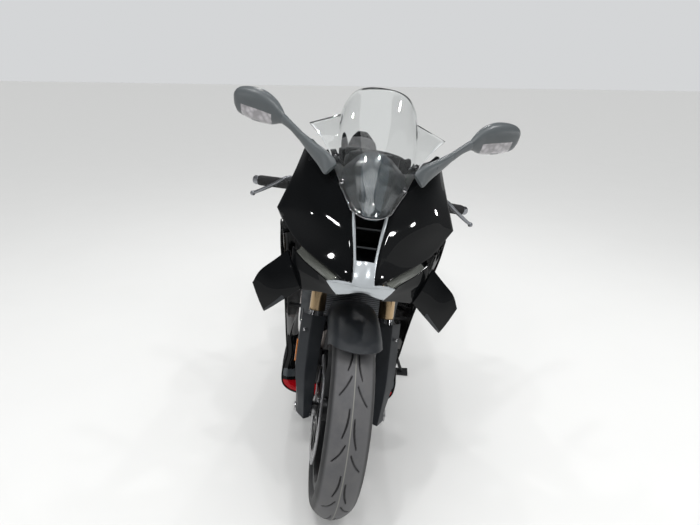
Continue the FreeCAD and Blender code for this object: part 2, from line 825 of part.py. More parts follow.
def spar(side):
    """A beam from the head tube to the pivot plate, through four-cornered rings.

    Each ring is its x, its distance out, its share of the rise to the head, its wall and its height.
    """
    stations = [
        (head_x - 10, 38, 0.99, 34, 100),
        (head_x - 70, 82, 0.845, 34, 104),
        (250, spar_half - 3, 0.618, spar_wall, 108),
        (90, spar_half + 13, 0.345, spar_wall, 108),
        (-60, spar_half + 19, 0, spar_wall - 6, 120),
    ]
    rings = []
    for x, out, share, wide, tall in stations:
        z = spar_foot_z + (head_z - spar_foot_z) * share
        rings.append([Vector(x, side * (out + u * wide / 2), z + v * tall / 2)
                      for u, v in ((-1, -1), (1, -1), (1, 1), (-1, 1))])
    return skin(rings)


def pivot_plate(side):
    corners = [(-60, 660), (10, 600), (-30, 520), (-70, 440), (-90, 330), (-110, 285), (-180, 285),
               (-205, 330), (-200, 400), (-150, 500), (-120, 600)]
    return plate(corners, side * pivot_plate_in, side * pivot_plate_out)


def stand_lug():
    inner = stand_pivot - stand_axis * 24
    lug = rod(inner, stand_pivot - stand_axis * 8, stand_lug_radius)
    pin = rod(stand_pivot - stand_axis * 8, stand_pivot + stand_axis * 9, stand_pin_radius - running_gap)
    head = rod(stand_pivot + stand_axis * 8.6, stand_pivot + stand_axis * 13, 10)
    arm = bar((-128, 139, 302), inner + stand_axis * 2, 20, 26, 12)
    return [lug, pin, head, arm]


def frame_shape():
    axis_foot = Vector(head_x, 0, head_z) + Vector(-sin_rake, 0, cos_rake) * (-head_tube_length / 2)
    axis_top = Vector(head_x, 0, head_z) + Vector(-sin_rake, 0, cos_rake) * (head_tube_length / 2)
    parts = [rod(axis_foot, axis_top, head_tube_radius)]
    for side in (LEFT, RIGHT):
        parts += [spar(side), pivot_plate(side)]
    parts.append(bar((-120, -pivot_plate_in - 4, 450), (-120, pivot_plate_in + 4, 450), 50, 36,
                     across=(0, 0, 1)))
    parts.append(rod((pivot_x, -pivot_plate_in - 2, pivot_z), (pivot_x, pivot_plate_in + 2, pivot_z), 10))
    parts += stand_lug()
    whole = fused(parts)
    return whole.cut([
        rod(axis_foot, axis_top, stem_radius + running_gap),
        rod(stand_pivot - stand_axis * 8, stand_pivot + stand_axis * 8.3, stand_lug_radius + 4).cut(
            rod(stand_pivot - stand_axis * 9, stand_pivot + stand_axis * 9, stand_pin_radius - running_gap)),
    ])


frame = frame_shape()
piece("frame", frame, chassis)


# Tank, seats and tail, each through upright rings: x, half width, lowest, highest


def hull(stations, share, count=16):
    return skin([rounded_ring(x, half, low, high, share, count) for x, half, low, high in stations])


tail_stations = [
    (-100, 104, 752, 806), (-180, 116, 750, 808), (-250, 118, 758, 814), (-340, 112, 774, 834),
    (-420, 100, 796, 858), (-510, 88, 836, 892), (-600, 76, 880, 925), (-680, 66, 906, 948),
    (-740, 58, 925, 962), (-850, 30, 955, 980),
]
seat_stations = [
    (-104, 78, 798, 846), (-150, 98, 796, 842), (-200, 112, 798, 844), (-270, 116, 806, 852),
    (-330, 114, 818, 868), (-380, 108, 832, 886), (-416, 98, 846, 902),
]
pillion_stations = [
    (-430, 80, 850, 912), (-460, 86, 860, 926), (-520, 84, 880, 938), (-590, 78, 900, 956),
    (-640, 70, 912, 966), (-700, 52, 930, 970),
]

tail = hull(tail_stations, 0.5)

# The tank and the nose are drawn with the head at one place, and follow it when it moves

drawn_head = Vector(456.68, 0, 820)
nose_shift = Vector(head_x, 0, head_z) - drawn_head
tank_rear = -99.6


def tank_shape():
    """Rings with a knee recess: x, top, then half width and height of shoulder, knee and foot.

    The whole ring rises with the head, by as much as the spars do under it.
    """
    rings = []
    for x, top, shoulder, shoulder_z, knee, knee_z, foot, foot_z in (
        (318, 905, 44, 894, 48, 872, 44, 850),
        (290, 944, 88, 918, 96, 880, 88, 830),
        (235, 984, 126, 956, 130, 892, 112, 810),
        (160, 1004, 156, 962, 146, 888, 128, 782),
        (100, 1006, 166, 958, 138, 884, 126, 764),
        (50, 1000, 160, 948, 130, 876, 122, 752),
        (0, 982, 142, 930, 108, 860, 108, 749),
        (-40, 950, 114, 906, 94, 846, 94, 749),
        (-75, 908, 90, 872, 84, 826, 84, 750),
        (tank_rear, 866, 74, 842, 76, 806, 76, 752),
    ):
        rise = nose_shift.z * (x - tank_rear) / (head_x - tank_rear)
        half = [
            (shoulder * 0.5, top - 3), (shoulder * 0.86, (top + shoulder_z) / 2 + 6), (shoulder, shoulder_z),
            ((shoulder + knee) / 2 + 1, (shoulder_z + knee_z) / 2), (knee, knee_z), (foot, foot_z),
        ]
        rings.append([Vector(x, 0, top + rise)] + [Vector(x, y, z + rise) for y, z in half]
                     + [Vector(x, -y, z + rise) for y, z in reversed(half)])
    return skin(rings)


def subframe_shape():
    parts = []
    for side in (LEFT, RIGHT):
        parts.append(tube([(-110, side * 139, 590), (-240, side * 110, 716), (-400, side * 84, 800)], 11, 60))
        parts.append(tube([(-70, side * 138, 650), (-180, side * 112, 715), (-330, side * 92, 753)], 11, 60))
    parts.append(rod((-330, -96, 742), (-330, 96, 742), 11))
    return fused(parts).cut([frame, tail])


piece("subframe", subframe_shape(), chassis)

# Engine: crankcase, forward cylinders and head, with its round covers


def engine_body():
    body = new_body("engine", chassis)
    case = flat_sketch(body, "crankcase", "XZ_Plane")
    outline(case, [(240, 470), (-60, 470), (-100, 420), (-110, 300),
                   (-60, 235), (180, 215), (262, 290), (270, 400)])
    pad(body, case, engine_half * 2, symmetric=True)
    block = flat_sketch(body, "cylinders", "XZ_Plane")
    outline(block, [(60, 470), (262, 400), (318, 560), (312, 640), (250, 672), (140, 650)])
    pad(body, block, cylinder_half * 2, symmetric=True)
    for name, x, z, radius, side, reach in (
        ("clutch_cover", 10, 360, 88, RIGHT, clutch_reach),
        ("crank_cover", 165, 370, 62, RIGHT, crank_reach),
        ("alternator_cover", 165, 370, 72, LEFT, alternator_reach),
    ):
        cover = flat_sketch(body, name, "XZ_Plane", engine_half * -side)
        circle(cover, x, z, radius)
        pad(body, cover, reach - engine_half, reverse=(side == LEFT))
    doc.recompute()
    block = body.Shape.copy()
    block.Placement = Placement()
    return block


engine = engine_body()


def drive_sprocket_shape():
    tip = drive_pitch_radius - roller_half - 0.7
    wheel = rod((drive_x, chain_line - sprocket_thick / 2, drive_z),
                (drive_x, chain_line + sprocket_thick / 2, drive_z), tip)
    shaft = rod((drive_x, engine_half, drive_z), (drive_x, chain_line + 12, drive_z), 14)
    return fused([wheel, shaft])


piece("drive_sprocket", drive_sprocket_shape(), chassis)

# Radiator in front of the cylinders: a core between two end tanks


def radiator_shape():
    core = Part.makeBox(28, 276, 210, Vector(-14, -138, -105))
    tanks = [Part.makeBox(36, 26, 222, Vector(-18, side * 151 - 13, -111)) for side in (LEFT, RIGHT)]
    rails = [Part.makeBox(32, 276, 8, Vector(-16, -138, z)) for z in (-111, 103)]
    whole = fused([core] + tanks + rails)
    whole.rotate(HERE, Y_AXIS, 12)
    whole.translate(Vector(radiator_x, 0, 535))
    hangers = [bar((radiator_x + 10, side * 82, 636), (radiator_x - 2, side * 82, head_z - 60), 18, 8)
               for side in (LEFT, RIGHT)]
    return largest(fused([whole] + hangers).cut(frame))


piece("radiator", radiator_shape(), chassis)

# Exhaust: four header pipes, a collector under the engine and a short silencer on the right


silencer_start = Vector(-286, -181, 252)
silencer_way = Vector(-0.86, -0.1, 0.5).normalize()


def exhaust_shape():
    pipes = []
    for y in (-72, -24, 24, 72):
        gather = y * 0.42
        pipes.append(tube([(319, y, 577), (349, y, 556), (330, y, 430), (302, y, 300), (262, gather, 176),
                           (170, gather, 176)], 17, 26))
    rings = []
    for x, half, tall, z in ((200, 52, 24, 176), (150, 74, 28, 176), (-30, 78, 28, 176), (-70, 40, 26, 178)):
        angles = [math.pi / 6 * k for k in range(12)]
        rings.append([Vector(x, half * math.cos(a), z + tall * math.sin(a)) for a in angles])
    collector = skin(rings)
    approach = silencer_start - silencer_way * 90
    link = tube([(-40, -30, 178), (-130, -80, 182), approach, silencer_start], 25, 50)
    return fused(pipes + [collector, link]).cut(engine)


def silencer_shape():
    along, start = silencer_way, silencer_start + silencer_way * 0.2
    rings = []
    for away, across, tall in ((0, 28, 28), (50, 42, 56), (250, 46, 62), (300, 40, 54)):
        rings.append(sloped_ring(start + along * away, along, (0, 1, 0), across, tall, 16))
    can = skin(rings)
    tip = rod(start + along * 280, start + along * 306, 26)
    return can.fuse(tip).cut(rod(start + along * 286, start + along * 310, 22))


piece("exhaust", exhaust_shape(), chassis)
piece("silencer", silencer_shape(), chassis)

piece("fuel_tank", tank_shape(), chassis)
piece("tail_cowl", tail, chassis)
under_seats = tail.translated(Vector(0, 0, running_gap))
piece("rider_seat", hull(seat_stations, 0.5).cut(under_seats), chassis)
piece("pillion_seat", hull(pillion_stations, 0.5).cut(under_seats), chassis)

piece("tail_light", hull([(-850.3, 28, 955, 979), (-862, 27, 956, 978), (-870, 20, 960, 974)], 0.4), chassis)


def plate_holder_shape():
    """A bracket under the tail with an indicator on a stalk at each side. It carries no plate."""
    arm = bar((-740, 0, 934), (-868, 0, 752), 60, 16, 44)
    foot = bar((-864, 0, 760), (-886, 0, 704), 70, 8, 84)
    lamps = []
    for side in (LEFT, RIGHT):
        lamps.append(rod((-838, side * 14, 799), (-844, side * 92, 802), 7))
        lamps.append(skin([sloped_ring((-844, side * y, 802), (0, 1, 0), (1, 0, 0), wide, 13)
                           for y, wide in ((88, 14), (104, 22), (150, 18), (160, 8))]))
    return fused([arm, foot] + lamps).cut(tail)


piece("plate_holder", plate_holder_shape(), chassis)

# Swingarm with the rear axle, its shock and mudguard


spool_x = rear_axle_x + 48
spool_z = rear_axle_z + 6
spool_face = 149


def swingarm_shape():
    """Two arms and a bridge. The rings between the pivot and the axle take their share of the reach."""
    parts = [rod((pivot_x, -126, pivot_z), (pivot_x, 126, pivot_z), 25)]
    axle = Vector(rear_axle_x, 0, rear_axle_z)

    def along(share, lift):
        return pivot_x - swingarm_reach * share, pivot_z + (rear_axle_z - pivot_z) * share + lift

    for side in (LEFT, RIGHT):
        stations = [(pivot_x + 6, 107, pivot_z, 30, 44)]
        for share, out, lift, wide, tall in (
            (0.165, 112, 8, 22, 62),
            (0.431, 113, 15, 20, 66),
            (0.651, 134, 11, 20, 62),
            (0.89, 139, 4, 20, 56),
        ):
            x, z = along(share, lift)
            stations.append((x, out, z, wide, tall))
        stations.append((axle.x - 46, 139, axle.z, 20, 50))
        rings = [[Vector(x, side * (out + u * wide / 2), z + v * tall / 2)
                  for u, v in ((-1, -1), (1, -1), (1, 1), (-1, 1))] for x, out, z, wide, tall in stations]
        parts.append(skin(rings))
    parts.append(Part.makeBox(70, 216, 56, Vector(pivot_x - 125, -108, pivot_z - 28)))
    whole = fused(parts)
    holes = [rod((spool_x, side * (spool_face - spool_hole_depth), spool_z),
                 (spool_x, side * (spool_face + 3), spool_z), spool_hole_radius) for side in (LEFT, RIGHT)]
    bores = [rod((pivot_x, -200, pivot_z), (pivot_x, 200, pivot_z), 10 + running_gap),
             rod(axle - Y_AXIS * 200, axle + Y_AXIS * 200, axle_radius)]
    return whole.cut(bores + holes)


swingarm = swingarm_shape()
piece("swingarm", swingarm, chassis)


def rear_axle_shape():
    left_face = float(chain_line + sprocket_thick / 2 + running_gap)
    right_face = float(rear_hub_half + rear_disc_gap + disc_thick + running_gap)
    parts = [
        rod((0, -168, 0), (0, 168, 0), axle_radius),
        rod((0, left_face, 0), (0, 129, 0), 20),
        rod((0, -right_face, 0), (0, -129, 0), 20),
        rod((0, 149, 0), (0, 162, 0), 18),
        rod((0, -149, 0), (0, -162, 0), 18),
    ]
    return fused(parts)


piece("rear_axle", rear_axle_shape(), rear_hub)


def rear_caliper_shape():
    middle = -float(rear_hub_half + rear_disc_gap + disc_thick / 2)
    block = caliper(rear_disc_radius, 48, middle, 15, 84, 46)
    arm = bar((44, -112, 52), (74, -118.5, 14), 20, 28)
    return fused([block, arm])


piece("rear_caliper", rear_caliper_shape(), rear_hub)


def shock_shape():
    low, high = Vector(-232, 0, 384), Vector(-140, 0, 640)
    way = (high - low).normalize()
    parts = [rod(low, high, 16)]
    parts.append(rod(low + way * 40, low + way * 48, 34))
    for k in range(7):
        parts.append(rod(low + way * (54 + 19 * k), low + way * (64 + 19 * k), 32))
    parts.append(rod(low + way * 188, low + way * 206, 34))
    parts.append(rod(low + way * 40, low + way * 200, 24))
    parts.append(rod((high.x, -110, high.z), (high.x, 110, high.z), 14))
    return fused(parts)


piece("rear_shock", shock_shape(), chassis)


def hugger_shape():
    rows = []
    radius = rear_radius + hugger_gap
    for y, drop in ((-97, 44), (-94, 16), (-60, 0), (60, 0), (94, 16), (97, 44)):
        reach = radius - drop
        rows.append([(reach * math.cos(math.radians(a)), y, reach * math.sin(math.radians(a)))
                     for a in (12, 30, 50, 70)])
    stay = bar((rear_radius - 38, 95, 84), (rear_radius - 40, 118, 58), 16, 6, across=(1, 0, 0))
    arms = swingarm.translated(Vector(-rear_axle_x, 0, -rear_axle_z))
    return largest(fused([panel(rows, 3, steps=2, inward=1), stay, mirrored(stay)]).cut(arms))


piece("rear_hugger", hugger_shape(), rear_hub)

# Bodywork, each panel from a few outer rows on the left side, most of them mirrored

nose = chassis.multiply(Placement(nose_shift, Rotation()))

upper_rows = [
    [(531, 178, 1066), (640, 128, 1040), (724, 84, 984), (774, 49, 934), (824, 36, 858), (868, 28, 775)],
    [(522, 188, 1064), (608, 178, 1018), (668, 164, 958), (710, 152, 900), (770, 106, 832), (866, 34, 777)],
    [(508, 194, 1058), (568, 214, 985), (602, 234, 925), (616, 252, 876), (708, 178, 812), (860, 42, 778)],
    [(500, 192, 1046), (560, 208, 968), (596, 224, 908), (610, 238, 846), (664, 170, 789), (852, 52, 774)],
]
under_rows = [
    [(640, 196, 790), (700, 160, 774), (770, 114, 763), (838, 78, 758)],
    [(676, 192, 742), (724, 156, 734), (790, 108, 740), (850, 66, 748)],
    [(712, 172, 700), (738, 152, 690), (800, 102, 714), (862, 53, 736)],
]
side_rows = [
    [(606, 236, 842), (500, 246, 800), (380, 240, 790), (250, 222, 780)],
    [(585, 232, 760), (470, 240, 740), (340, 236, 720), (190, 214, 700)],
    [(520, 225, 650), (420, 232, 640), (290, 228, 630), (110, 208, 620)],
    [(452, 218, 550), (360, 223, 545), (220, 220, 540), (40, 200, 545)],
    [(432, 208, 455), (330, 213, 455), (180, 211, 455), (-40, 194, 455)],
    [(440, 198, 385), (320, 204, 380), (160, 203, 375), (-30, 190, 385)],
    [(446, 188, 320), (310, 196, 312), (150, 195, 300), (15, 187, 318)],
]
belly_rows = [
    [(x, y, z - running_gap) for x, y, z in side_rows[-1]],
    [(452, 198, 246), (330, 204, 240), (160, 200, 238), (24, 184, 240)],
    [(446, 186, 190), (320, 192, 176), (155, 188, 174), (32, 170, 182)],
    [(430, 130, 156), (310, 128, 140), (150, 124, 138), (38, 110, 146)],
    [(424, 0, 150), (310, 0, 134), (150, 0, 132), (40, 0, 140)],
]

upper_half = panel(upper_rows, panel_wall, steps=3)
under_half = panel(under_rows, panel_wall, steps=2)
piece("upper_fairing", both(upper_half), nose)
piece("nose_underside", both(under_half), nose)


def side_panel_shape():
    """The left side panel: a vent with two slats, and a stud to the frame and one to the radiator."""
    wall = panel(side_rows, panel_wall, steps=3)
    vent = plate([(398, 634), (262, 606), (214, 486), (326, 512)], 150, 300)
    slats = [bar((x, 229, 650), (x - 70, 214.5, 488), 18, 6, across=(1, 0, 0)) for x in (366, 318)]
    studs = [largest(rod((x, y, z), (x, 250, z), 7).cut(wall)) for x, y, z in (
        (240, spar_half, 700), (radiator_x, 164 + running_gap, 480))]
    return fused([wall.cut(vent)] + slats + studs).cut(frame)


side_panel = side_panel_shape()
piece("side_fairing_left", side_panel, chassis)
piece("side_fairing_right", mirrored(side_panel), chassis)

full_belly = belly_rows + [[(x, -y, z) for x, y, z in row] for row in reversed(belly_rows[:-1])]
belly = panel(full_belly, panel_wall, steps=2).cut([side_panel, mirrored(side_panel)])
piece("belly_pan", largest(belly), chassis)

lamp_rows = [
    [(650, 160, 790), (712, 126, 784), (782, 86, 781), (838, 56, 776)],
    [(664, 172, 781), (716, 146, 775), (778, 108, 769), (834, 78, 763)],
]
lamp = largest(panel(lamp_rows, 10).cut([upper_half, under_half]))
piece("headlights", both(lamp), nose)


def winglet_shape():
    """A folded blade that hangs from the nose: lens-shaped rings from its root to its tip."""
    rings = []
    for lead, trail, thick in (
        ((738, 154, 690), (664, 206, 770), 12),
        ((722, 190, 652), (668, 240, 738), 11),
        ((706, 226, 616), (676, 276, 704), 9),
        ((692, 258, 588), (680, 296, 662), 5),
    ):
        a, b = Vector(*lead), Vector(*trail)
        face = Vector(-0.5, -0.75, -0.42).normalize()
        shares = ((0, 0), (0.12, -0.35), (0.5, -0.5), (0.88, -0.3),
                  (1, 0), (0.88, 0.3), (0.5, 0.5), (0.12, 0.35))
        rings.append([a + (b - a) * s + face * t * thick for s, t in shares])
    return skin(rings)


piece("winglets", both(winglet_shape().cut(under_half)), nose)


def nose_frame_shape():
    """Struts beside the air duct, the tongue below it and the chin, as one trim piece."""
    strut = panel([
        [(776, 39, 930), (826, 26, 858), (889, 19, 806)],
        [(778, 46, 930), (828, 32.5, 858), (890, 26, 800)],
    ], 12)
    half_rows = [
        [(868, 23, 836), (871, 12, 837), (872, 0, 838)],
        [(892, 25, 806), (895, 13, 807), (896, 0, 808)],
        [(900, 28, 786), (906, 14, 786), (909, 0, 786)],
        [(831, 88, 760), (878, 40, 768), (905, 0, 776)],
        [(845, 74, 748), (882, 36, 756), (903, 0, 764)],
        [(856, 59, 737), (880, 32, 744), (896, 0, 750)],
    ]
    tongue = panel([row + [(x, -y, z) for x, y, z in row[-2::-1]] for row in half_rows], 6)
    seats = [upper_half, under_half]
    return largest(fused([strut, mirrored(strut), tongue]).cut(seats + [mirrored(s) for s in seats]))


nose_frame = nose_frame_shape()
piece("nose_frame", nose_frame, nose)


def dash_shape():
    pod = skin([[Vector(x, y, z) for y, z in ((-74, low), (74, low), (66, high), (-66, high))]
                for x, low, high in ((552, 982, 1052), (578, 978, 1058))])
    stay = bar((488, 0, 844), (598, 0, 1004), 60, 18, 100)
    parts = [stay]
    for side in (LEFT, RIGHT):
        parts.append(bar((594, side * 40, 996), (628, side * 116, 1030), 20, 12, across=(0, 0, 1)))
        parts.append(bar((560, side * 24, 950), (594, side * 50, 910), 16, 14, across=(0, 0, 1)))
    frame_here = frame.translated(nose_shift.negative())
    pod_ahead = pod.translated(Vector(running_gap, 0, 0))
    return pod, fused(parts).cut([frame_here, pod, pod_ahead])


dash, stay = dash_shape()
piece("dash", dash, nose)
piece("fairing_stay", stay, nose)


def air_duct_shape():
    """A tapered channel behind the nose with two cross vanes in its mouth."""
    mouth = [Vector(770, 44, 930), Vector(868, 22, 800), Vector(868, -22, 800), Vector(770, -44, 930)]
    back = [Vector(600, 56, 920), Vector(600, 56, 800), Vector(600, -56, 800), Vector(600, -56, 920)]
    outer = skin([mouth, back])
    wall = 3
    inner_mouth = [Vector(780, 40, 930), Vector(880, 18, 804), Vector(880, -18, 804), Vector(780, -40, 930)]
    inner_back = [Vector(604, 56 - wall, 917), Vector(604, 56 - wall, 803), Vector(604, wall - 56, 803),
                  Vector(604, wall - 56, 917)]
    vanes = [bar((x, -half, z), (x, half, z), 26, 4, across=(0.92, 0, 0.39)) for x, half, z in
             ((782, 42, 892), (812, 36, 852))]
    channel = fused([outer.cut(skin([inner_mouth, inner_back]))] + vanes)
    return largest(channel.cut([nose_frame, stay, upper_half, mirrored(upper_half)]))


piece("air_duct", air_duct_shape(), nose)

screen_rows = [
    [(774, -52, 938), (786, -30, 946), (790, 0, 950), (786, 30, 946), (774, 52, 938)],
    [(724, -86, 988), (742, -50, 1008), (748, 0, 1016), (742, 50, 1008), (724, 86, 988)],
    [(672, -112, 1040), (684, -66, 1072), (692, 0, 1088), (684, 66, 1072), (672, 112, 1040)],
    [(618, -150, 1086), (614, -92, 1130), (624, 0, 1158), (614, 92, 1130), (618, 150, 1086)],
    [(560, -192, 1114), (545, -104, 1160), (540, 0, 1229), (545, 104, 1160), (560, 192, 1114)],
]
cowl_rows = [
    [(816, -16, 926), (818, -8, 926), (820, 0, 926), (818, 8, 926), (816, 16, 926)],
    [(768, -48, 932), (780, -28, 946), (784, 0, 950), (780, 28, 946), (768, 48, 932)],
    [(716, -80, 978), (734, -48, 996), (740, 0, 1006), (734, 48, 996), (716, 80, 978)],
    [(664, -84, 1010), (672, -50, 1034), (680, 0, 1046), (672, 50, 1034), (664, 84, 1010)],
    [(604, -48, 1048), (606, -26, 1058), (608, 0, 1062), (606, 26, 1058), (604, 48, 1048)],
]
piece("windscreen", panel(screen_rows, 3, steps=3, inward=-1), nose)
cowl = panel(cowl_rows, 3, steps=3, inward=-1).cut([upper_half, mirrored(upper_half)])
piece("screen_cowl", largest(cowl), nose)


def mirror_shape():
    """A mirror: foot on the fairing, tapering stalk and a flat rounded head."""
    stations = [
        ((692, 112, 1000), 20, 12), ((668, 150, 1040), 22, 14), ((618, 203, 1078), 15, 10),
        ((560, 262, 1112), 13, 10), ((532, 290, 1124), 34, 26), ((500, 330, 1134), 44, 34),
        ((476, 380, 1140), 42, 32), ((462, 414, 1142), 26, 20),
    ]
    rings = []
    for i, (centre, wide, tall) in enumerate(stations):
        ahead = Vector(*stations[min(i + 1, 7)][0]) - Vector(*stations[max(i - 1, 0)][0])
        rings.append(sloped_ring(centre, ahead, (0.3, 0, 0.95), wide, tall, 10))
    return largest(skin(rings).cut(upper_half))


piece("mirrors", both(mirror_shape()), nose)


def rearset(side):
    base = plate([(-120, 300), (-205, 330), (-285, 392), (-278, 420), (-215, 412), (-130, 350)],
                 side * pivot_plate_out, side * (pivot_plate_out + 10))
    peg = rod((-262, side * (float(pivot_plate_out) + 8), 400), (-262, side * 248, 404), 12)
    heel = plate([(-225, 400), (-285, 402), (-300, 470), (-262, 476)],
                 side * (float(pivot_plate_out) + 6), side * (float(pivot_plate_out) + 9.5))
    lever = bar((-230, side * 170, 388), (-100, side * 176, 366), 10, 12)
    toe = rod((-104, side * 172, 366), (-104, side * 214, 367), 7)
    post = rod((-230, side * 158, 388), (-230, side * 176, 388), 9)
    return fused([base, peg, heel, lever, toe, post])


piece("rearsets", Part.makeCompound([rearset(LEFT), rearset(RIGHT)]), chassis)

# Side stand, drawn down as it stands, with its foot flat on the floor


def to_bike(point):
    return chassis.inverse().multVec(Vector(*point))


pivot_now = chassis.multVec(stand_pivot)
stand_way = chassis.Rotation.multVec(stand_down)
ankle = pivot_now + stand_way * ((pivot_now.z - 16) / -stand_way.z)
stand_foot_middle = Vector(ankle.x, ankle.y, 0)


def stand_shape():
    hub = rod(stand_pivot - stand_axis * 7.7, stand_pivot + stand_axis * 8, stand_lug_radius)
    toe = ankle + Vector(30, 26, 0)
    low = [Vector(ankle.x - 24, ankle.y - 22, 0), Vector(ankle.x + 24, ankle.y - 22, 0),
           Vector(toe.x, toe.y, 0), Vector(toe.x - 52, toe.y + 4, 0)]
    high = [p + Vector(0, 0, 9) for p in low]
    foot = skin([[to_bike(p) for p in low], [to_bike(p) for p in high]])
    knee = stand_pivot + stand_down * 14
    leg = skin([sloped_ring(knee, stand_down, (1, 0, 0), 12, 6.8),
                sloped_ring(to_bike(ankle + Vector(0, 0, -9)), stand_down, (1, 0, 0), 10, 6.8)])
    return fused([hub, leg, foot]).cut(rod(stand_pivot - stand_axis * 20, stand_pivot + stand_axis * 20,
                                           stand_pin_radius))


piece("side_stand", stand_shape(), chassis)

# Check every object, centre the bike over the origin and write the pieces

doc.recompute()

whole = FreeCAD.BoundBox()
for item in pieces:
    whole.add(item.Shape.BoundBox)
to_middle = Vector(-whole.Center.x, -whole.Center.y, -whole.ZMin)
for item in pieces:
    item.Placement = Placement(item.Placement.Base + to_middle, item.Placement.Rotation)
doc.recompute()

for thing in doc.Objects:
    if "Invalid" in thing.State or "Error" in thing.State:
        raise RuntimeError(f"{thing.Label} failed: {thing.State}")
for item in pieces:
    if item.Shape.isNull() or not item.Shape.isValid():
        raise RuntimeError(f"{item.Label} has no valid shape")

os.makedirs("parts", exist_ok=True)
for item in pieces:
    item.Shape.exportStep(f"parts/{item.Label}.step")


def told(name, point, way=None):
    spot = [round(v, 3) for v in point]
    aim = [round(v, 6) for v in way] if way else ""
    print(name, spot, aim)


print("size", [round(v, 1) for v in (whole.XLength, whole.YLength, whole.ZLength)])
told("steering", steering.Base + to_middle, steering.Rotation.multVec(Z_AXIS))
told("front_wheel", front_hub.Base + to_middle, front_hub.Rotation.multVec(Y_AXIS))
told("rear_wheel", rear_hub.Base + to_middle, rear_hub.Rotation.multVec(Y_AXIS))
told("side_stand", chassis.multVec(stand_pivot) + to_middle, chassis.Rotation.multVec(stand_axis))
for side, word in ((LEFT, "left"), (RIGHT, "right")):
    middle_y = side * (spool_face - spool_hole_depth / 2)
    told(f"spool_{word}", chassis.multVec(Vector(spool_x, middle_y, spool_z)) + to_middle,
         chassis.Rotation.multVec(Vector(0, side, 0)))
told("stand_foot", stand_foot_middle + to_middle, -Z_AXIS)
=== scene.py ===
import json
import math

import bmesh
import bpy
import numpy as np
from mathutils import Matrix, Vector


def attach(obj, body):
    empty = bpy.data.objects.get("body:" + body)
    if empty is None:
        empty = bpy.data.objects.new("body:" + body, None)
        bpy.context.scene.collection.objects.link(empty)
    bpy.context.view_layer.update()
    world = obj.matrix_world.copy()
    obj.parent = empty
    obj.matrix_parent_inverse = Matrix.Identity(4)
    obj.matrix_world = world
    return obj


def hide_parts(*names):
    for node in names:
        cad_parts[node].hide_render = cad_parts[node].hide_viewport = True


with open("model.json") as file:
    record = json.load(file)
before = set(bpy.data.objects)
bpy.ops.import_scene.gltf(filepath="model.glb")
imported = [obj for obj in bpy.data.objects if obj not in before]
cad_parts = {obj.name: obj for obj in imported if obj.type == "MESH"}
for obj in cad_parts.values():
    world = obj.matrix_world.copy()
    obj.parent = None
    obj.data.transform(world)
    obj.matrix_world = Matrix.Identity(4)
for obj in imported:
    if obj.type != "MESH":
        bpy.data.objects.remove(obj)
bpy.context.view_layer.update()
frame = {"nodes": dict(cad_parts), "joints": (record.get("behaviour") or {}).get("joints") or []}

NODES = frame["nodes"]
JOINTS = {joint["name"]: joint for joint in frame["joints"]}
MM = 0.001
TURN = 2 * math.pi
LEFT, RIGHT = 1, -1
SIDES = ((LEFT, "left"), (RIGHT, "right"))
AHEAD, ACROSS, UP = (1, 0, 0), (0, 1, 0), (0, 0, 1)
NO_POSE = Matrix.Identity(4)

# The bike is drawn upright in millimetres, x forward, y to its left, z up, and then leaned as it stands.
HEAD = Vector((456.7, 0, 820))
RAKE = math.radians(23)
FRONT_RADIUS, FRONT_HALF, FRONT_BEAD = 300, 59, 44
REAR_RADIUS, REAR_HALF, REAR_BEAD = 316, 92, 76
BEAD_RADIUS = 216
FORK_HALF, FORK_OFFSET, TUBE_RADIUS = 106, 30, 24
DISC_RADIUS, DISC_BAND, REAR_DISC_RADIUS, REAR_DISC_BAND = 160, 34, 110, 30
DISC_THICK, DISC_FACE, REAR_DISC_FACE = 5, 64, 92
HUB_HALF, BORE = 70, 12.8
CHAIN_LINE, CHAIN_PITCH = 112, 15.875
REAR_PITCH_RADIUS, DRIVE_PITCH_RADIUS = 108.7, 40.7


def pose_from(origin, x, y, z):
    """A place whose units are millimetres, with its origin given in metres."""
    turn = Matrix((x, y, z)).transposed().to_4x4()
    return Matrix.Translation(origin) @ turn @ Matrix.Scale(MM, 4)


def wheel_pose(joint, tilt):
    """The hub's place, its y along the axle and its z as near the tilt as it can be."""
    origin, y = Vector(JOINTS[joint]["pos_m"]), Vector(JOINTS[joint]["axis"]).normalized()
    z = (tilt - y * tilt.dot(y)).normalized()
    return pose_from(origin, y.cross(z), y, z)


steer_up = Vector(JOINTS["steering"]["axis"]).normalized()
steer_left = Vector(JOINTS["front_wheel_spin"]["axis"]).normalized()
steer_ahead = steer_left.cross(steer_up)
rear_left = Vector(JOINTS["rear_wheel_spin"]["axis"]).normalized()
lean_up = Vector(AHEAD).cross(rear_left)
head_at = Vector(JOINTS["steering"]["pos_m"])
lean_turn = Matrix((Vector(AHEAD), rear_left, lean_up)).transposed()
BIKE = pose_from(head_at - lean_turn @ HEAD * MM, Vector(AHEAD), rear_left, lean_up)
FORK = pose_from(head_at, steer_ahead, steer_left, steer_up)
FRONT_HUB = wheel_pose("front_wheel_spin", steer_ahead * math.sin(RAKE) + steer_up * math.cos(RAKE))
REAR_HUB = wheel_pose("rear_wheel_spin", lean_up)
to_bike = BIKE.inverted()

# Shader building


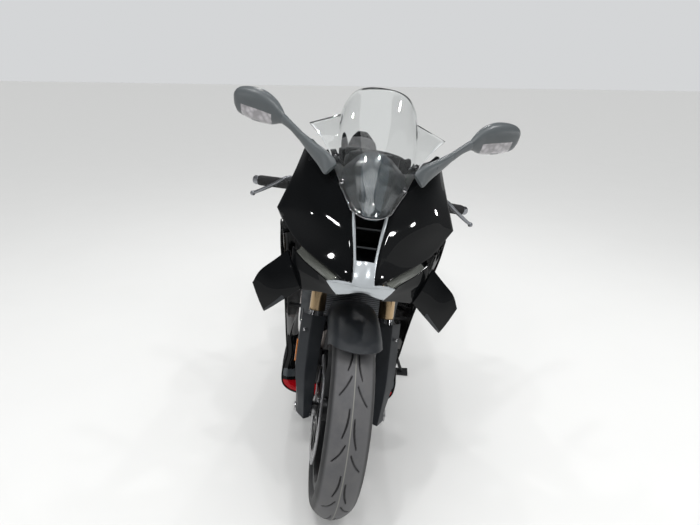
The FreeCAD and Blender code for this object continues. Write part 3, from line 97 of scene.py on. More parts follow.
class Finish:
    """A procedural material on the object's own coordinates, in metres."""

    def __init__(self, name, color, rough, metal=0.0, **sockets):
        self.material = bpy.data.materials.new(name)
        self.material.use_nodes = True
        self.tree = self.material.node_tree
        self.shader = self.tree.nodes["Principled BSDF"]
        self.place = self.add("ShaderNodeTexCoord").outputs["Object"]
        self.set("Base Color", (*color, 1))
        self.set("Roughness", rough)
        self.set("Metallic", metal)
        for key, value in sockets.items():
            self.set(key.replace("_", " "), value)

    def set(self, socket, value):
        self.shader.inputs[socket].default_value = value

    def add(self, kind, inputs=None, **settings):
        node = self.tree.nodes.new(kind)
        for key, value in settings.items():
            setattr(node, key, value)
        for key, value in (inputs or {}).items():
            if isinstance(value, bpy.types.NodeSocket):
                self.tree.links.new(value, node.inputs[key])
            else:
                node.inputs[key].default_value = value
        return node

    def noise(self, scale, detail=3.0, rough=0.5, place=None):
        sockets = {"Vector": place or self.place, "Scale": scale, "Detail": detail, "Roughness": rough}
        return self.add("ShaderNodeTexNoise", sockets).outputs["Fac"]

    def cells(self, scale, feature="F1"):
        sockets = {"Vector": self.place, "Scale": scale}
        return self.add("ShaderNodeTexVoronoi", sockets, feature=feature).outputs["Distance"]

    def math(self, operation, *values):
        return self.add("ShaderNodeMath", dict(enumerate(values)), operation=operation).outputs[0]

    def ramp(self, value, low, high, start=0.0, end=1.0):
        """Maps a value between start and end to the range low to high."""
        sockets = {"Value": value, "From Min": start, "From Max": end, "To Min": low, "To Max": high}
        return self.add("ShaderNodeMapRange", sockets).outputs["Result"]

    def blend(self, share, first, second):
        """Mixes two colours: sockets 6 and 7 of a Mix node are its colours, and output 2 its result."""
        node = self.add("ShaderNodeMix", data_type="RGBA")
        for key, value in (("Factor", share), (6, first), (7, second)):
            socket = node.inputs[key]
            if isinstance(value, bpy.types.NodeSocket):
                self.tree.links.new(value, socket)
            else:
                socket.default_value = value if isinstance(value, float) else (*value, 1)
        return node.outputs[2]

    def drive(self, socket, output):
        self.tree.links.new(output, self.shader.inputs[socket])

    def bump(self, height, strength, distance):
        node = self.add("ShaderNodeBump", {"Height": height, "Strength": strength, "Distance": distance})
        self.drive("Normal", node.outputs["Normal"])

    def stretched(self, scale, place=None):
        """Coordinates, the object's where none are given, scaled by a different amount each way."""
        sockets = {"Vector": place or self.place, "Scale": scale}
        return self.add("ShaderNodeMapping", sockets).outputs["Vector"]

    def made_uneven(self, color, darker, scale, rough_low, rough_high):
        patches = self.noise(scale, 5.0, 0.6)
        self.drive("Base Color", self.blend(patches, darker, color))
        self.drive("Roughness", self.ramp(patches, rough_high, rough_low, 0.3, 0.7))
        return patches


def paint(name, color, deep, flake=0.0, coat=0.7):
    """Lacquered paint: an even colour coat, a very faint orange peel and a thin film of dust."""
    finish = Finish(name, color, 0.2, flake, Coat_Weight=coat, Coat_Roughness=0.03, Specular_IOR_Level=0.0)
    patches = finish.noise(6.0, 4.0)
    finish.drive("Base Color", finish.blend(patches, deep, color))
    finish.drive("Roughness", finish.ramp(finish.noise(35.0, 6.0, 0.7), 0.12, 0.3, 0.3, 0.8))
    finish.bump(finish.noise(260.0, 2.0), 0.03, 0.0004)
    return finish.material


def grained(name, color, darker, rough, scale=1400.0, depth=0.25, **sockets):
    """Moulded plastic with a fine pressed grain and faint uneven wear."""
    finish = Finish(name, color, rough, **sockets)
    finish.made_uneven(color, darker, 14.0, rough - 0.06, rough + 0.1)
    finish.bump(finish.cells(scale), depth, 0.0002)
    return finish.material


def cast(name, color, darker, rough, metal=1.0):
    """Cast metal with a fine sandy skin."""
    finish = Finish(name, color, rough, metal)
    finish.made_uneven(color, darker, 30.0, rough - 0.08, rough + 0.12)
    finish.bump(finish.noise(900.0, 4.0, 0.7), 0.25, 0.0003)
    return finish.material


def anodised(name, color, rough):
    """Anodised metal: a nearly even colour with faint handling marks."""
    finish = Finish(name, color, rough, 1.0)
    marks = finish.noise(18.0, 5.0, 0.6)
    finish.drive("Base Color", finish.blend(marks, tuple(c * 0.88 for c in color), color))
    finish.drive("Roughness", finish.ramp(marks, rough, rough + 0.09, 0.35, 0.75))
    return finish.material


def brushed(name, color, rough, stretch):
    """Metal with fine streaks, drawn out by a different amount each way."""
    finish = Finish(name, color, rough, 1.0)
    streaks = finish.noise(1.0, 3.0, 0.6, finish.stretched(stretch))
    finish.drive("Base Color", finish.blend(streaks, tuple(c * 0.72 for c in color), color))
    finish.drive("Roughness", finish.ramp(streaks, rough + 0.1, rough - 0.06, 0.3, 0.7))
    finish.bump(streaks, 0.08, 0.0002)
    return finish.material


def turned_metal(name, color, rough):
    """Metal turned on a lathe: fine rings that follow the piece's own map, u round and v outward."""
    finish = Finish(name, color, rough, 1.0)
    uv = finish.add("ShaderNodeUVMap", uv_map="around").outputs["UV"]
    streaks = finish.noise(1.0, 4.0, 0.6, finish.stretched((3.0, 900.0, 1.0), uv))
    finish.drive("Base Color", finish.blend(streaks, tuple(c * 0.6 for c in color), color))
    finish.drive("Roughness", finish.ramp(streaks, rough + 0.12, rough - 0.05, 0.3, 0.7))
    return finish.material


def tyre_rubber():
    """Rubber whose worn tread is paler than its walls and grooves, with a moulding line in the middle."""
    finish = Finish("tyre_rubber", (0.03, 0.03, 0.032), 0.62, Specular_IOR_Level=0.4)
    tread = finish.add("ShaderNodeAttribute", attribute_name="tread").outputs["Fac"]
    line = finish.add("ShaderNodeAttribute", attribute_name="line").outputs["Fac"]
    dust = finish.ramp(finish.noise(22.0, 6.0, 0.65), 0.0, 1.0, 0.35, 0.75)
    worn = finish.blend(dust, (0.075, 0.075, 0.079), (0.105, 0.103, 0.104))
    base = finish.blend(tread, (0.016, 0.016, 0.017), worn)
    finish.drive("Base Color", finish.blend(line, base, (0.25, 0.25, 0.22)))
    finish.drive("Roughness", finish.ramp(dust, 0.5, 0.68))
    finish.bump(finish.noise(1100.0, 3.0, 0.6), 0.12, 0.0003)
    return finish.material


def leather():
    """Seat leather whose grain is a net of fine creases."""
    finish = Finish("seat_cover", (0.022, 0.022, 0.024), 0.5, Sheen_Weight=0.15)
    finish.made_uneven((0.026, 0.026, 0.028), (0.016, 0.016, 0.017), 9.0, 0.44, 0.58)
    grain = finish.cells(620.0, "DISTANCE_TO_EDGE")
    finish.bump(finish.ramp(grain, 0.0, 1.0, 0.0, 0.14), 0.35, 0.0004)
    return finish.material


def carbon(name, dark, pale, tow=0.0021):
    """A twill weave under clear lacquer: the light and dark tows step over by one in each row."""
    finish = Finish(name, pale, 0.3, Coat_Weight=1.0, Coat_Roughness=0.03)
    place = finish.add("ShaderNodeSeparateXYZ", {"Vector": finish.place})
    across = finish.math("DIVIDE", place.outputs["Y"], tow)
    stepped = finish.math("FLOOR", finish.math("DIVIDE", place.outputs["Z"], tow))
    turn = finish.math("FLOORED_MODULO", finish.math("ADD", across, stepped), 4.0)
    over = finish.math("GREATER_THAN", turn, 2.0)
    finish.drive("Base Color", finish.blend(over, dark, pale))
    finish.bump(over, 0.05, 0.0002)
    return finish.material


def clear(name, color, rough=0.02, passing=1.0):
    """Clear plastic with faint scratches and finger marks in its polish."""
    finish = Finish(name, color, rough, Transmission_Weight=passing, IOR=1.49)
    marks = finish.noise(28.0, 6.0, 0.7)
    finish.drive("Roughness", finish.ramp(marks, rough, rough + 0.05, 0.5, 0.9))
    return finish.material


def lens(name, color, scale=260.0):
    """A reflector lens: small prisms moulded in its back show through the colour."""
    finish = Finish(name, color, 0.12, Coat_Weight=1.0, Coat_Roughness=0.03)
    prisms = finish.cells(scale)
    dark = tuple(c * 0.5 for c in color)
    finish.drive("Base Color", finish.blend(finish.ramp(prisms, 0.0, 1.0, 0.1, 0.7), color, dark))
    finish.bump(prisms, 0.4, 0.0005)
    return finish.material


def silvered():
    """Mirror glass with faint dust."""
    finish = Finish("mirror_glass", (0.85, 0.87, 0.88), 0.02, 1.0)
    finish.drive("Roughness", finish.ramp(finish.noise(40.0, 5.0, 0.7), 0.01, 0.12, 0.5, 0.9))
    return finish.material


def heat_tint():
    """Bare steel that heat has tinted straw and blue."""
    finish = Finish("heat_tinted_steel", (0.4, 0.36, 0.31), 0.28, 1.0)
    patches = finish.noise(9.0, 4.0, 0.6)
    straw = finish.blend(patches, (0.36, 0.3, 0.2), (0.42, 0.4, 0.37))
    finish.drive("Base Color", finish.blend(finish.noise(4.0, 2.0), straw, (0.22, 0.2, 0.27)))
    finish.drive("Roughness", finish.ramp(patches, 0.2, 0.4, 0.3, 0.7))
    return finish.material


def plain_stage(color):
    """The studio floor, a little uneven in tone."""
    finish = Finish("studio_floor", color, 0.6)
    finish.drive("Base Color", finish.blend(finish.noise(3.0, 4.0), color, tuple(c * 0.97 for c in color)))
    return finish.material


BLACK = paint("gloss_black", (0.0045, 0.005, 0.0055), (0.003, 0.0032, 0.0035), coat=0.45)
SILVER = paint("silver_trim", (0.5, 0.53, 0.55), (0.42, 0.45, 0.47), 0.35)
RED = paint("red_paint", (0.6, 0.004, 0.012), (0.42, 0.003, 0.008))
GREY_STRIPE = paint("grey_stripe", (0.1, 0.115, 0.125), (0.07, 0.08, 0.09), 0.2)
PLASTIC = grained("dark_plastic", (0.022, 0.025, 0.028), (0.014, 0.016, 0.018), 0.42)
FENDER_PLASTIC = grained("fender_plastic", (0.016, 0.019, 0.023), (0.011, 0.013, 0.016), 0.5, 900.0, 0.12)
GREY_PLASTIC = grained("mirror_plastic", (0.085, 0.095, 0.1), (0.06, 0.068, 0.072), 0.33, 1100.0, 0.15)
RUBBER = grained("grip_rubber", (0.014, 0.014, 0.015), (0.009, 0.009, 0.01), 0.7, 700.0, 0.3)
ALLOY = cast("cast_alloy", (0.34, 0.35, 0.37), (0.24, 0.25, 0.27), 0.38)
DARK_ALLOY = cast("black_alloy", (0.035, 0.036, 0.038), (0.02, 0.021, 0.022), 0.42, 0.6)
ENGINE_METAL = cast("engine_castings", (0.09, 0.09, 0.095), (0.05, 0.05, 0.053), 0.48, 0.8)
CORE = cast("radiator_fins", (0.16, 0.17, 0.18), (0.1, 0.105, 0.11), 0.5)
STEEL = brushed("steel", (0.42, 0.42, 0.43), 0.32, (300, 40, 300))
POLISHED = brushed("polished_steel", (0.62, 0.62, 0.64), 0.12, (200, 200, 20))
GOLD = anodised("gold_anodised", (0.47, 0.34, 0.2), 0.17)
DISC_STEEL = turned_metal("brake_steel", (0.4, 0.4, 0.415), 0.34)
TYRE = tyre_rubber()
LEATHER = leather()
WEAVE = carbon("carbon_weave", (0.03, 0.042, 0.052), (0.058, 0.076, 0.09))
# A darker copy of the weave: painted shade on the cowl's flanks
SHADED_WEAVE = carbon("carbon_weave_painted_shade", (0.009, 0.012, 0.015), (0.02, 0.026, 0.031))
SCREEN = clear("clear_screen", (0.93, 0.95, 0.95))
SMOKED = clear("smoked_lens", (0.25, 0.26, 0.235), 0.03, passing=0.6)
BACKING = grained("panel_backing", (0.012, 0.013, 0.014), (0.008, 0.009, 0.01), 0.85, Specular_IOR_Level=0.1)
ORANGE_LENS = lens("orange_lens", (0.85, 0.24, 0.01))
PALE_LENS = lens("indicator_lens", (0.46, 0.44, 0.46), 60.0)
RED_LENS = lens("red_lens", (0.5, 0.008, 0.008))
TINTED = heat_tint()
THREAD = grained("stitching_thread", (0.06, 0.06, 0.065), (0.04, 0.04, 0.043), 0.7, 2000.0, 0.3)
MIRROR = silvered()
REFLECTOR = paint("lamp_reflector", (0.42, 0.44, 0.43), (0.2, 0.21, 0.205), 0.5)
LIGHT_BAR = lens("light_bar", (0.75, 0.78, 0.8), 500.0)

# Mesh building: every shape is drawn in millimetres in its own pose and kept in metres in the shared frame


def polar(radius, angle):
    return radius * math.cos(angle), radius * math.sin(angle)


def pressed(value, share):
    """The value with its sign kept and its size raised to the share, which squares a circle's corners."""
    return math.copysign(abs(value) ** share, value)


def new_object(name, data):
    made = bpy.data.objects.new(name, data)
    bpy.context.scene.collection.objects.link(made)
    return made


def through(points, steps, corners=()):
    """Points on the smooth curve through the given ones, which turns sharply at the corners listed."""
    points = [Vector(p) for p in points]
    cuts = [0, *corners, len(points) - 1]
    out = []
    for first, last in zip(cuts, cuts[1:]):
        run = points[first:last + 1]
        ends = [run[0] * 2 - run[1]] + run + [run[-1] * 2 - run[-2]]
        for a, b, c, d in zip(ends, ends[1:], ends[2:], ends[3:]):
            for k in range(steps):
                t = k / steps
                out.append((b * 2 + (c - a) * t + (a * 2 - b * 5 + c * 4 - d) * t ** 2
                            + (b * 3 - a - c * 3 + d) * t ** 3) * 0.5)
    return out + [points[-1]]


def net(rows, steps, row_corners=(), column_corners=()):
    """A fine grid of points on the smooth surface through rows of points.

    Sharp columns are listed for every row, or for some rows in a dictionary.
    """
    own = column_corners
    if not isinstance(own, dict):
        own = dict.fromkeys(range(len(rows)), column_corners)
    lines = [through(row, steps, own.get(i, ())) for i, row in enumerate(rows)]
    columns = [through(column, steps, row_corners) for column in zip(*lines)]
    return [list(line) for line in zip(*columns)]


def mirrored(points):
    return [Vector((p[0], -p[1], p[2])) for p in points]


def across_middle(rows):
    """Rows that start on the bike's middle, carried on to its other side."""
    return [mirrored(row[:0:-1]) + [Vector(p) for p in row] for row in rows]


def as_object(name, points, faces, pose, material):
    mesh = bpy.data.meshes.new(name)
    mesh.from_pydata([pose @ Vector(p) for p in points], [], faces)
    mesh.materials.append(material)
    return new_object(name, mesh)


def settled(made):
    """Works the object's modifiers into its mesh."""
    bpy.context.view_layer.update()
    graph = bpy.context.evaluated_depsgraph_get()
    mesh = bpy.data.meshes.new_from_object(made.evaluated_get(graph))
    made.modifiers.clear()
    made.data = mesh
    return made


def softened(made, width, angle=35):
    """Rounds the edges that are sharper than the angle, in degrees, by a width in millimetres."""
    bevel = made.modifiers.new("edges", "BEVEL")
    bevel.width = width * MM
    bevel.segments = 2
    bevel.limit_method = "ANGLE"
    bevel.angle_limit = math.radians(angle)
    return made


def shaded(made, angle=32):
    made.data.shade_smooth()
    made.data.set_sharp_from_angle(angle=math.radians(angle))
    return made


def on_body(made, body, slot, *nodes):
    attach(made, body)
    if nodes:
        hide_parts(*nodes)
    return made


def grid_faces(high, wide, start=0, flip=False, closed=False):
    faces = []
    for i in range(high - 1):
        for k in range(wide if closed else wide - 1):
            n, low, top = (k + 1) % wide, start + i * wide, start + (i + 1) * wide
            quad = (low + k, low + n, top + n, top + k)
            faces.append(quad[::-1] if flip else quad)
    return faces


def shell(name, nets, wall, pose, material, flip=False, edge=1.0, back=None):
    """A panel with a wall behind each net of points, and another finish on its back where one is given."""
    points, faces = [], []
    for mesh_net, turned in nets:
        faces += grid_faces(len(mesh_net), len(mesh_net[0]), len(points), flip != turned)
        points += [p for row in mesh_net for p in row]
    made = as_object(name, points, faces, pose, material)
    thick = made.modifiers.new("wall", "SOLIDIFY")
    thick.thickness = wall * MM
    thick.offset = -1
    thick.use_even_offset = True
    thick.thickness_clamp = 1.5
    if back:
        made.data.materials.append(back)
        thick.material_offset = 1
    if edge:
        softened(made, edge, 50)
    return shaded(settled(made))


def pair(mesh_net):
    """A net and its mirror image."""
    return [(mesh_net, False), ([mirrored(row) for row in mesh_net], True)]


def lofted(name, rings, pose, material, mirror=False, edge=0.0, angle=32):
    """A closed solid through rings of points, flat at both ends."""
    points, faces = [], []
    for turned in ((False, True) if mirror else (False,)):
        start, wide = len(points), len(rings[0])
        faces += grid_faces(len(rings), wide, start, turned, closed=True)
        first = tuple(range(start, start + wide))
        last = tuple(range(start + (len(rings) - 1) * wide, start + len(rings) * wide))
        faces += [last, first[::-1]] if not turned else [last[::-1], first]
        for ring in rings:
            points += mirrored(ring) if turned else [Vector(p) for p in ring]
    made = as_object(name, points, faces, pose, material)
    outward(made)
    if edge:
        settled(softened(made, edge))
    return shaded(made, angle)


def outward(made):
    """Turns every face of a closed mesh outward."""
    work = bmesh.new()
    work.from_mesh(made.data)
    bmesh.ops.recalc_face_normals(work, faces=work.faces)
    work.to_mesh(made.data)
    work.free()
    return made


def joined(name, parts):
    """One object from several, which keep their own materials."""
    work = bmesh.new()
    materials = []
    for part in parts:
        start = len(work.faces)
        work.from_mesh(part.data)
        work.faces.ensure_lookup_table()
        for face in work.faces[start:]:
            own = part.data.materials[face.material_index]
            if own not in materials:
                materials.append(own)
            face.material_index = materials.index(own)
    mesh = bpy.data.meshes.new(name)
    work.to_mesh(mesh)
    work.free()
    for own in materials:
        mesh.materials.append(own)
    made = new_object(name, mesh)
    for part in parts:
        bpy.data.objects.remove(part)
    return made


def lathe(name, section, pose, material, steps=96, closed=True):
    """A section of radius and place along y, turned about the pose's y axis."""
    wide = len(section)
    spots = [(polar(r, TURN * i / steps), y) for i in range(steps) for r, y in section]
    points = [(x, y, z) for (x, z), y in spots]
    faces = []
    for i in range(steps):
        n = (i + 1) % steps
        for k in range(wide if closed else wide - 1):
            m = (k + 1) % wide
            faces.append((i * wide + k, i * wide + m, n * wide + m, n * wide + k))
    made = as_object(name, points, faces, pose, material)
    return shaded(outward(made))


def frame_along(points):
    """At each point of a path, two directions square to it that turn as little as they can."""
    ways = [(points[min(i + 1, len(points) - 1)] - points[max(i - 1, 0)]).normalized()
            for i in range(len(points))]
    side = ways[0].orthogonal().normalized()
    frames = []
    for way in ways:
        side = (side - way * side.dot(way)).normalized()
        frames.append((side, way.cross(side)))
    return frames


def pipe(name, points, radius, pose, material, sides=20, steps=8):
    """A round bar on the smooth curve through points."""
    line = through(points, steps)
    angles = [TURN * k / sides for k in range(sides)]
    rings = [[p + (a * math.cos(t) + b * math.sin(t)) * radius for t in angles]
             for p, (a, b) in zip(line, frame_along(line))]
    return lofted(name, rings, pose, material, angle=50)


def prism(name, corners, start, end, pose, material, edge=1.0):
    """A flat plate with its outline given as x, z, from y start to y end."""
    rings = [[(x, y, z) for x, z in corners] for y in (start, end)]
    return lofted(name, rings, pose, material, edge=edge)


def flat_cut(name, outlines, thick, pose, material, edge=0.4):
    """A flat plate across the pose's y axis: the first outline with the others cut out of it."""
    curve = bpy.data.curves.new(name, "CURVE")
    curve.dimensions = "2D"
    curve.fill_mode = "BOTH"
    curve.extrude = thick / 2 - edge
    curve.bevel_depth = edge
    curve.bevel_resolution = 1
    for outline in outlines:
        spline = curve.splines.new("POLY")
        spline.points.add(len(outline) - 1)
        for point, (x, z) in zip(spline.points, outline):
            point.co = (x, z, 0, 1)
        spline.use_cyclic_u = True
    flat = new_object(name, curve)
    mesh = bpy.data.meshes.new_from_object(flat.evaluated_get(bpy.context.evaluated_depsgraph_get()))
    bpy.data.objects.remove(flat)
    mesh.materials.clear()
    mesh.materials.append(material)
    mesh.transform(pose @ Matrix.Rotation(math.radians(90), 4, "X"))
    return shaded(new_object(name, mesh), 40)


def ring_of(radius, count, centre=(0, 0), start=0.0):
    spots = [polar(radius, start + TURN * k / count) for k in range(count)]
    return [(centre[0] + x, centre[1] + z) for x, z in spots]


def turn_to(way, start=UP):
    """A turn that takes the start, the z axis where none is given, to the way."""
    return Vector(start).rotation_difference(Vector(way)).to_matrix().to_4x4()


def facing(pose, place, way):
    """The pose moved to a place and turned so that its y axis points the given way."""
    return pose @ Matrix.Translation(place) @ turn_to(way, ACROSS)


def at_y(pose, y):
    return pose @ Matrix.Translation((0, y, 0))


def both_sides(spots):
    """Places and facings on the left, and again mirrored to the right."""
    return spots + [((x, -y, z), (a, -b, c)) for (x, y, z), (a, b, c) in spots]


def squared_ring(centre, ahead, across, half_across, half_thick, share=0.62, count=24, flat=1.0):
    """A ring across its path. A smaller share makes squarer corners, and flat squashes its back."""
    ahead = Vector(ahead).normalized()
    side = Vector(across)
    side = (side - ahead * side.dot(ahead)).normalized()
    thick = ahead.cross(side)
    if thick.x < 0:
        thick = -thick
    ring = []
    for k in range(count):
        a = TURN * k / count
        u, v = pressed(math.cos(a), share) * half_across, pressed(math.sin(a), share) * half_thick
        ring.append(Vector(centre) + side * u + thick * (v if v > 0 else v * flat))
    return ring


def loft_path(stations, steps, across, share, flat=1.0):
    """Rings along a smooth path of (place, half width, half thickness) and, where given, the way across."""
    centres = through([s[0] for s in stations], steps)
    sizes = through([(s[1], s[2], 0) for s in stations], steps)
    sides = through([s[3] if len(s) > 3 else across for s in stations], steps)
    rings = []
    for i, (centre, size, side) in enumerate(zip(centres, sizes, sides)):
        ahead = centres[min(i + 1, len(centres) - 1)] - centres[max(i - 1, 0)]
        rings.append(squared_ring(centre, ahead, side, size.x, size.y, share, 24, flat))
    return rings


def blade_rings(stations, thick_way, around=10, steps=5):
    """Lens-shaped rings, smooth from one station to the next: leading edge, trailing edge, thickness."""
    leads, trails, sizes = zip(*stations)
    lines = [through(leads, steps), through(trails, steps), through([(t, 0, 0) for t in sizes], steps)]
    way = Vector(thick_way).normalized()
    rings = []
    for lead, trail, size in zip(*lines):
        shares = [(1 - math.cos(math.pi * k / around)) / 2 for k in range(around)]
        ring = [(s, 0.5) for s in shares] + [(1 - s, -0.5) for s in shares]
        rings.append([lead + (trail - lead) * s + way * math.sin(math.pi * s ** 0.8) * half * size.x
                      for s, half in ring])
    return rings


def rounded_rings(stations, share, steps=4, count=48):
    """Upright rings across the bike, smooth from one station to the next: x, half width, lowest, highest."""
    places = through([(x, half, low) for x, half, low, high in stations], steps)
    tops = through([(x, half, high) for x, half, low, high in stations], steps)
    rings = []
    for (x, half, low), (_, _, high) in zip(places, tops):
        ring = []
        for k in range(count):
            a = TURN * (k + 0.5) / count
            u, v = pressed(math.cos(a), share), pressed(math.sin(a), share)
            ring.append(Vector((x, half * u, (low + high) / 2 + (high - low) / 2 * v)))
        rings.append(ring)
    return rings


def polar_rows(rows, angles):
    """Rows across the wheel, each given by its y and its radius, at angles up from straight ahead."""
    spots = [[(polar(r, math.radians(a)), y) for a in angles] for y, r in rows]
    return [[(x, y, z) for (x, z), y in row] for row in spots]


def ribbed(start, ribs, rib, end):
    """A section with ribs of one shape, each moved along by its own place."""
    return start + [(r, y + away) for away in ribs for r, y in rib] + end


def cut_by(made, cutter):
    hole = made.modifiers.new("hole", "BOOLEAN")
    hole.object = cutter
    hole.solver = "EXACT"
    settled(made)
    bpy.data.objects.remove(cutter)
    return shaded(made, 40)


def mapped_around(made, pose):
    """Gives the mesh a map whose u runs round the pose's y axis and whose v is the radius in metres."""
    back = pose.inverted()
    layer = made.data.uv_layers.new(name="around")
    spots = [back @ v.co for v in made.data.vertices]
    for loop in made.data.loops:
        p = spots[loop.vertex_index]
        layer.data[loop.index].uv = (math.atan2(p.z, p.x) / TURN, math.hypot(p.x, p.z) * MM)
    return made


def copies_tree():
    """Sets the item on every point, turned and stretched as the point says, and gives it its material."""
    tree = bpy.data.node_groups.new("copies", "GeometryNodeTree")
    inputs = {"Points": "Geometry", "Item": "Object", "Size": "Float", "Material": "Material"}
    for word, kind in inputs.items():
        tree.interface.new_socket(word, in_out="INPUT", socket_type=f"NodeSocket{kind}")
    tree.interface.new_socket("Copies", in_out="OUTPUT", socket_type="NodeSocketGeometry")
    kinds = ("NodeGroupInput", "NodeGroupOutput", "GeometryNodeObjectInfo", "GeometryNodeInputNamedAttribute",
             "GeometryNodeInputNamedAttribute", "FunctionNodeEulerToRotation", "ShaderNodeVectorMath",
             "GeometryNodeInstanceOnPoints", "GeometryNodeRealizeInstances", "GeometryNodeSetMaterial")
    given, result, item, turn, stretch, angles, sized, spread, real, coated = map(tree.nodes.new, kinds)
    for node, word in ((turn, "turn"), (stretch, "stretch")):
        node.data_type = "FLOAT_VECTOR"
        node.inputs["Name"].default_value = word
    sized.operation = "SCALE"
    for source, socket, target, into in (
            (given, "Item", item, "Object"), (given, "Points", spread, "Points"),
            (item, "Geometry", spread, "Instance"), (turn, "Attribute", angles, "Euler"),
            (angles, "Rotation", spread, "Rotation"), (stretch, "Attribute", sized, "Vector"),
            (given, "Size", sized, "Scale"), (sized, "Vector", spread, "Scale"),
            (spread, "Instances", real, "Geometry"), (real, "Geometry", coated, "Geometry"),
            (given, "Material", coated, "Material"), (coated, "Geometry", result, "Copies")):
        tree.links.new(source.outputs[socket], target.inputs[into])
    return tree


COPIES = copies_tree()
COPIES_SOCKETS = {entry.name: entry.identifier for entry in COPIES.interface.items_tree}


def repeated(name, item, spots, pose):
    """A plain mesh with a copy of the item, drawn in millimetres, at each matrix in the pose."""
    places = [pose @ spot for spot in spots]
    turns, stretches = [place.to_euler() for place in places], [spot.to_scale() for spot in spots]
    mesh = bpy.data.meshes.new(name)
    mesh.from_pydata([place.translation for place in places], [], [])
    for word, values in (("turn", turns), ("stretch", stretches)):
        own = mesh.attributes.new(word, "FLOAT_VECTOR", "POINT")
        own.data.foreach_set("vector", [number for value in values for number in value])
    made = new_object(name, mesh)
    copies = made.modifiers.new("copies", "NODES")
    copies.node_group = COPIES
    for word, value in (("Item", item), ("Size", MM), ("Material", item.data.materials[0])):
        copies[COPIES_SOCKETS[word]] = value
    settled(made)
    for own in [made.data.attributes.get(word) for word in ("turn", "stretch")]:
        if own:
            made.data.attributes.remove(own)
    bpy.data.objects.remove(item)
    return shaded(made, 35)


def screws(name, spots, radius, tall, pose, material):
    """Round heads with a six-sided socket, each given by its place and the way that it faces."""
    socket, sides = 0.5, 18
    section = [(0, -tall), (radius, -tall), (radius, tall * 0.45), (radius * 0.86, tall * 0.9),
               (radius * socket, tall), (radius * socket * 0.96, tall * 0.3), (0, tall * 0.3)]
    points = []
    for r, z in section:
        if r == 0:
            points.append((0, 0, z))
            continue
        for k in range(sides):
            a = TURN * k / sides
            reach = r / math.cos((a % (math.pi / 3)) - math.pi / 6) if r <= radius * socket else r
            points.append((*polar(reach, a), z))
    rings = len(section) - 2
    last = 1 + rings * sides
    faces = grid_faces(rings, sides, 1, closed=True)
    faces += [(0, 1 + (k + 1) % sides, 1 + k) for k in range(sides)]
    faces += [(last, last - sides + k, last - sides + (k + 1) % sides) for k in range(sides)]
    head = outward(as_object(f"{name}_head", points, faces, NO_POSE, material))
    return repeated(name, head, [Matrix.Translation(place) @ turn_to(way) for place, way in spots], pose)


def bodied(made, slot, *nodes):
    return on_body(made, "root", slot, *nodes)


# Camera, lamps and floor

FLOOR_COLOR = (0.66, 0.66, 0.65)
CAMERA_FROM_HEAD = Vector((1.5953, -0.0339, 0.43265))
CAMERA_YAW, CAMERA_PITCH, CAMERA_ROLL = (math.radians(a) for a in (-0.08, 19.49, 0.86))
FOCAL_PIXELS, PHOTO_WIDTH, SENSOR = 523.25, 700, 36.0


def camera():
    """The photo's own camera, found from the left and right pairs of points on the bike."""
    ahead = Vector((-math.cos(CAMERA_YAW) * math.cos(CAMERA_PITCH),
                    math.sin(CAMERA_YAW) * math.cos(CAMERA_PITCH),
                    -math.sin(CAMERA_PITCH)))
    level = Vector((math.sin(CAMERA_YAW), math.cos(CAMERA_YAW), 0))
    above = level.cross(ahead)
    right = level * math.cos(CAMERA_ROLL) + above * math.sin(CAMERA_ROLL)
    top = above * math.cos(CAMERA_ROLL) - level * math.sin(CAMERA_ROLL)
    data = bpy.data.cameras.new("camera")
    data.sensor_width = SENSOR
    data.lens = FOCAL_PIXELS / PHOTO_WIDTH * SENSOR
    made = new_object("camera", data)
    turn = Matrix((right, top, -ahead)).transposed().to_4x4()
    made.matrix_world = Matrix.Translation(head_at + CAMERA_FROM_HEAD) @ turn
    bpy.context.scene.camera = made


# The backdrop's strength for each kind of ray: it goes from level to above between two heights of the ray
BACKDROP = (("Is Camera Ray", 0.2, 0.4, 0.68, 0.74), ("Is Glossy Ray", 0.0, 0.4, 0.34, 0.06),
            ("Is Transmission Ray", 0.2, 0.4, 0.68, 0.06))
DIFFUSE_LEVEL = 0.5
CEILING_HEIGHT, LAMP_SIZE, CEILING_POWER, SIDE_POWER = 3.0, 0.11, 9, 4
CEILING_LAMPS = [(x, y * side) for x, y in ((2.6, 1.3), (1.5, 0.55), (0.2, 1.2), (-1.4, 0.6))
                 for side in (LEFT, RIGHT)]
SIDE_LAMPS = ((1.74, -3.7, 2.38), (1.13, -3.96, 1.94), (-0.3, 3.0, 1.09), (1.05, 3.0, 1.17))


def lamp(name, kind, place, aim, power, **settings):
    data = bpy.data.lights.new(name, kind)
    data.energy = power
    for key, value in settings.items():
        setattr(data, key, value)
    made = new_object(name, data)
    way = Vector(aim) - Vector(place)
    made.matrix_world = Matrix.Translation(place) @ way.to_track_quat("-Z", "Y").to_matrix().to_4x4()
    return made


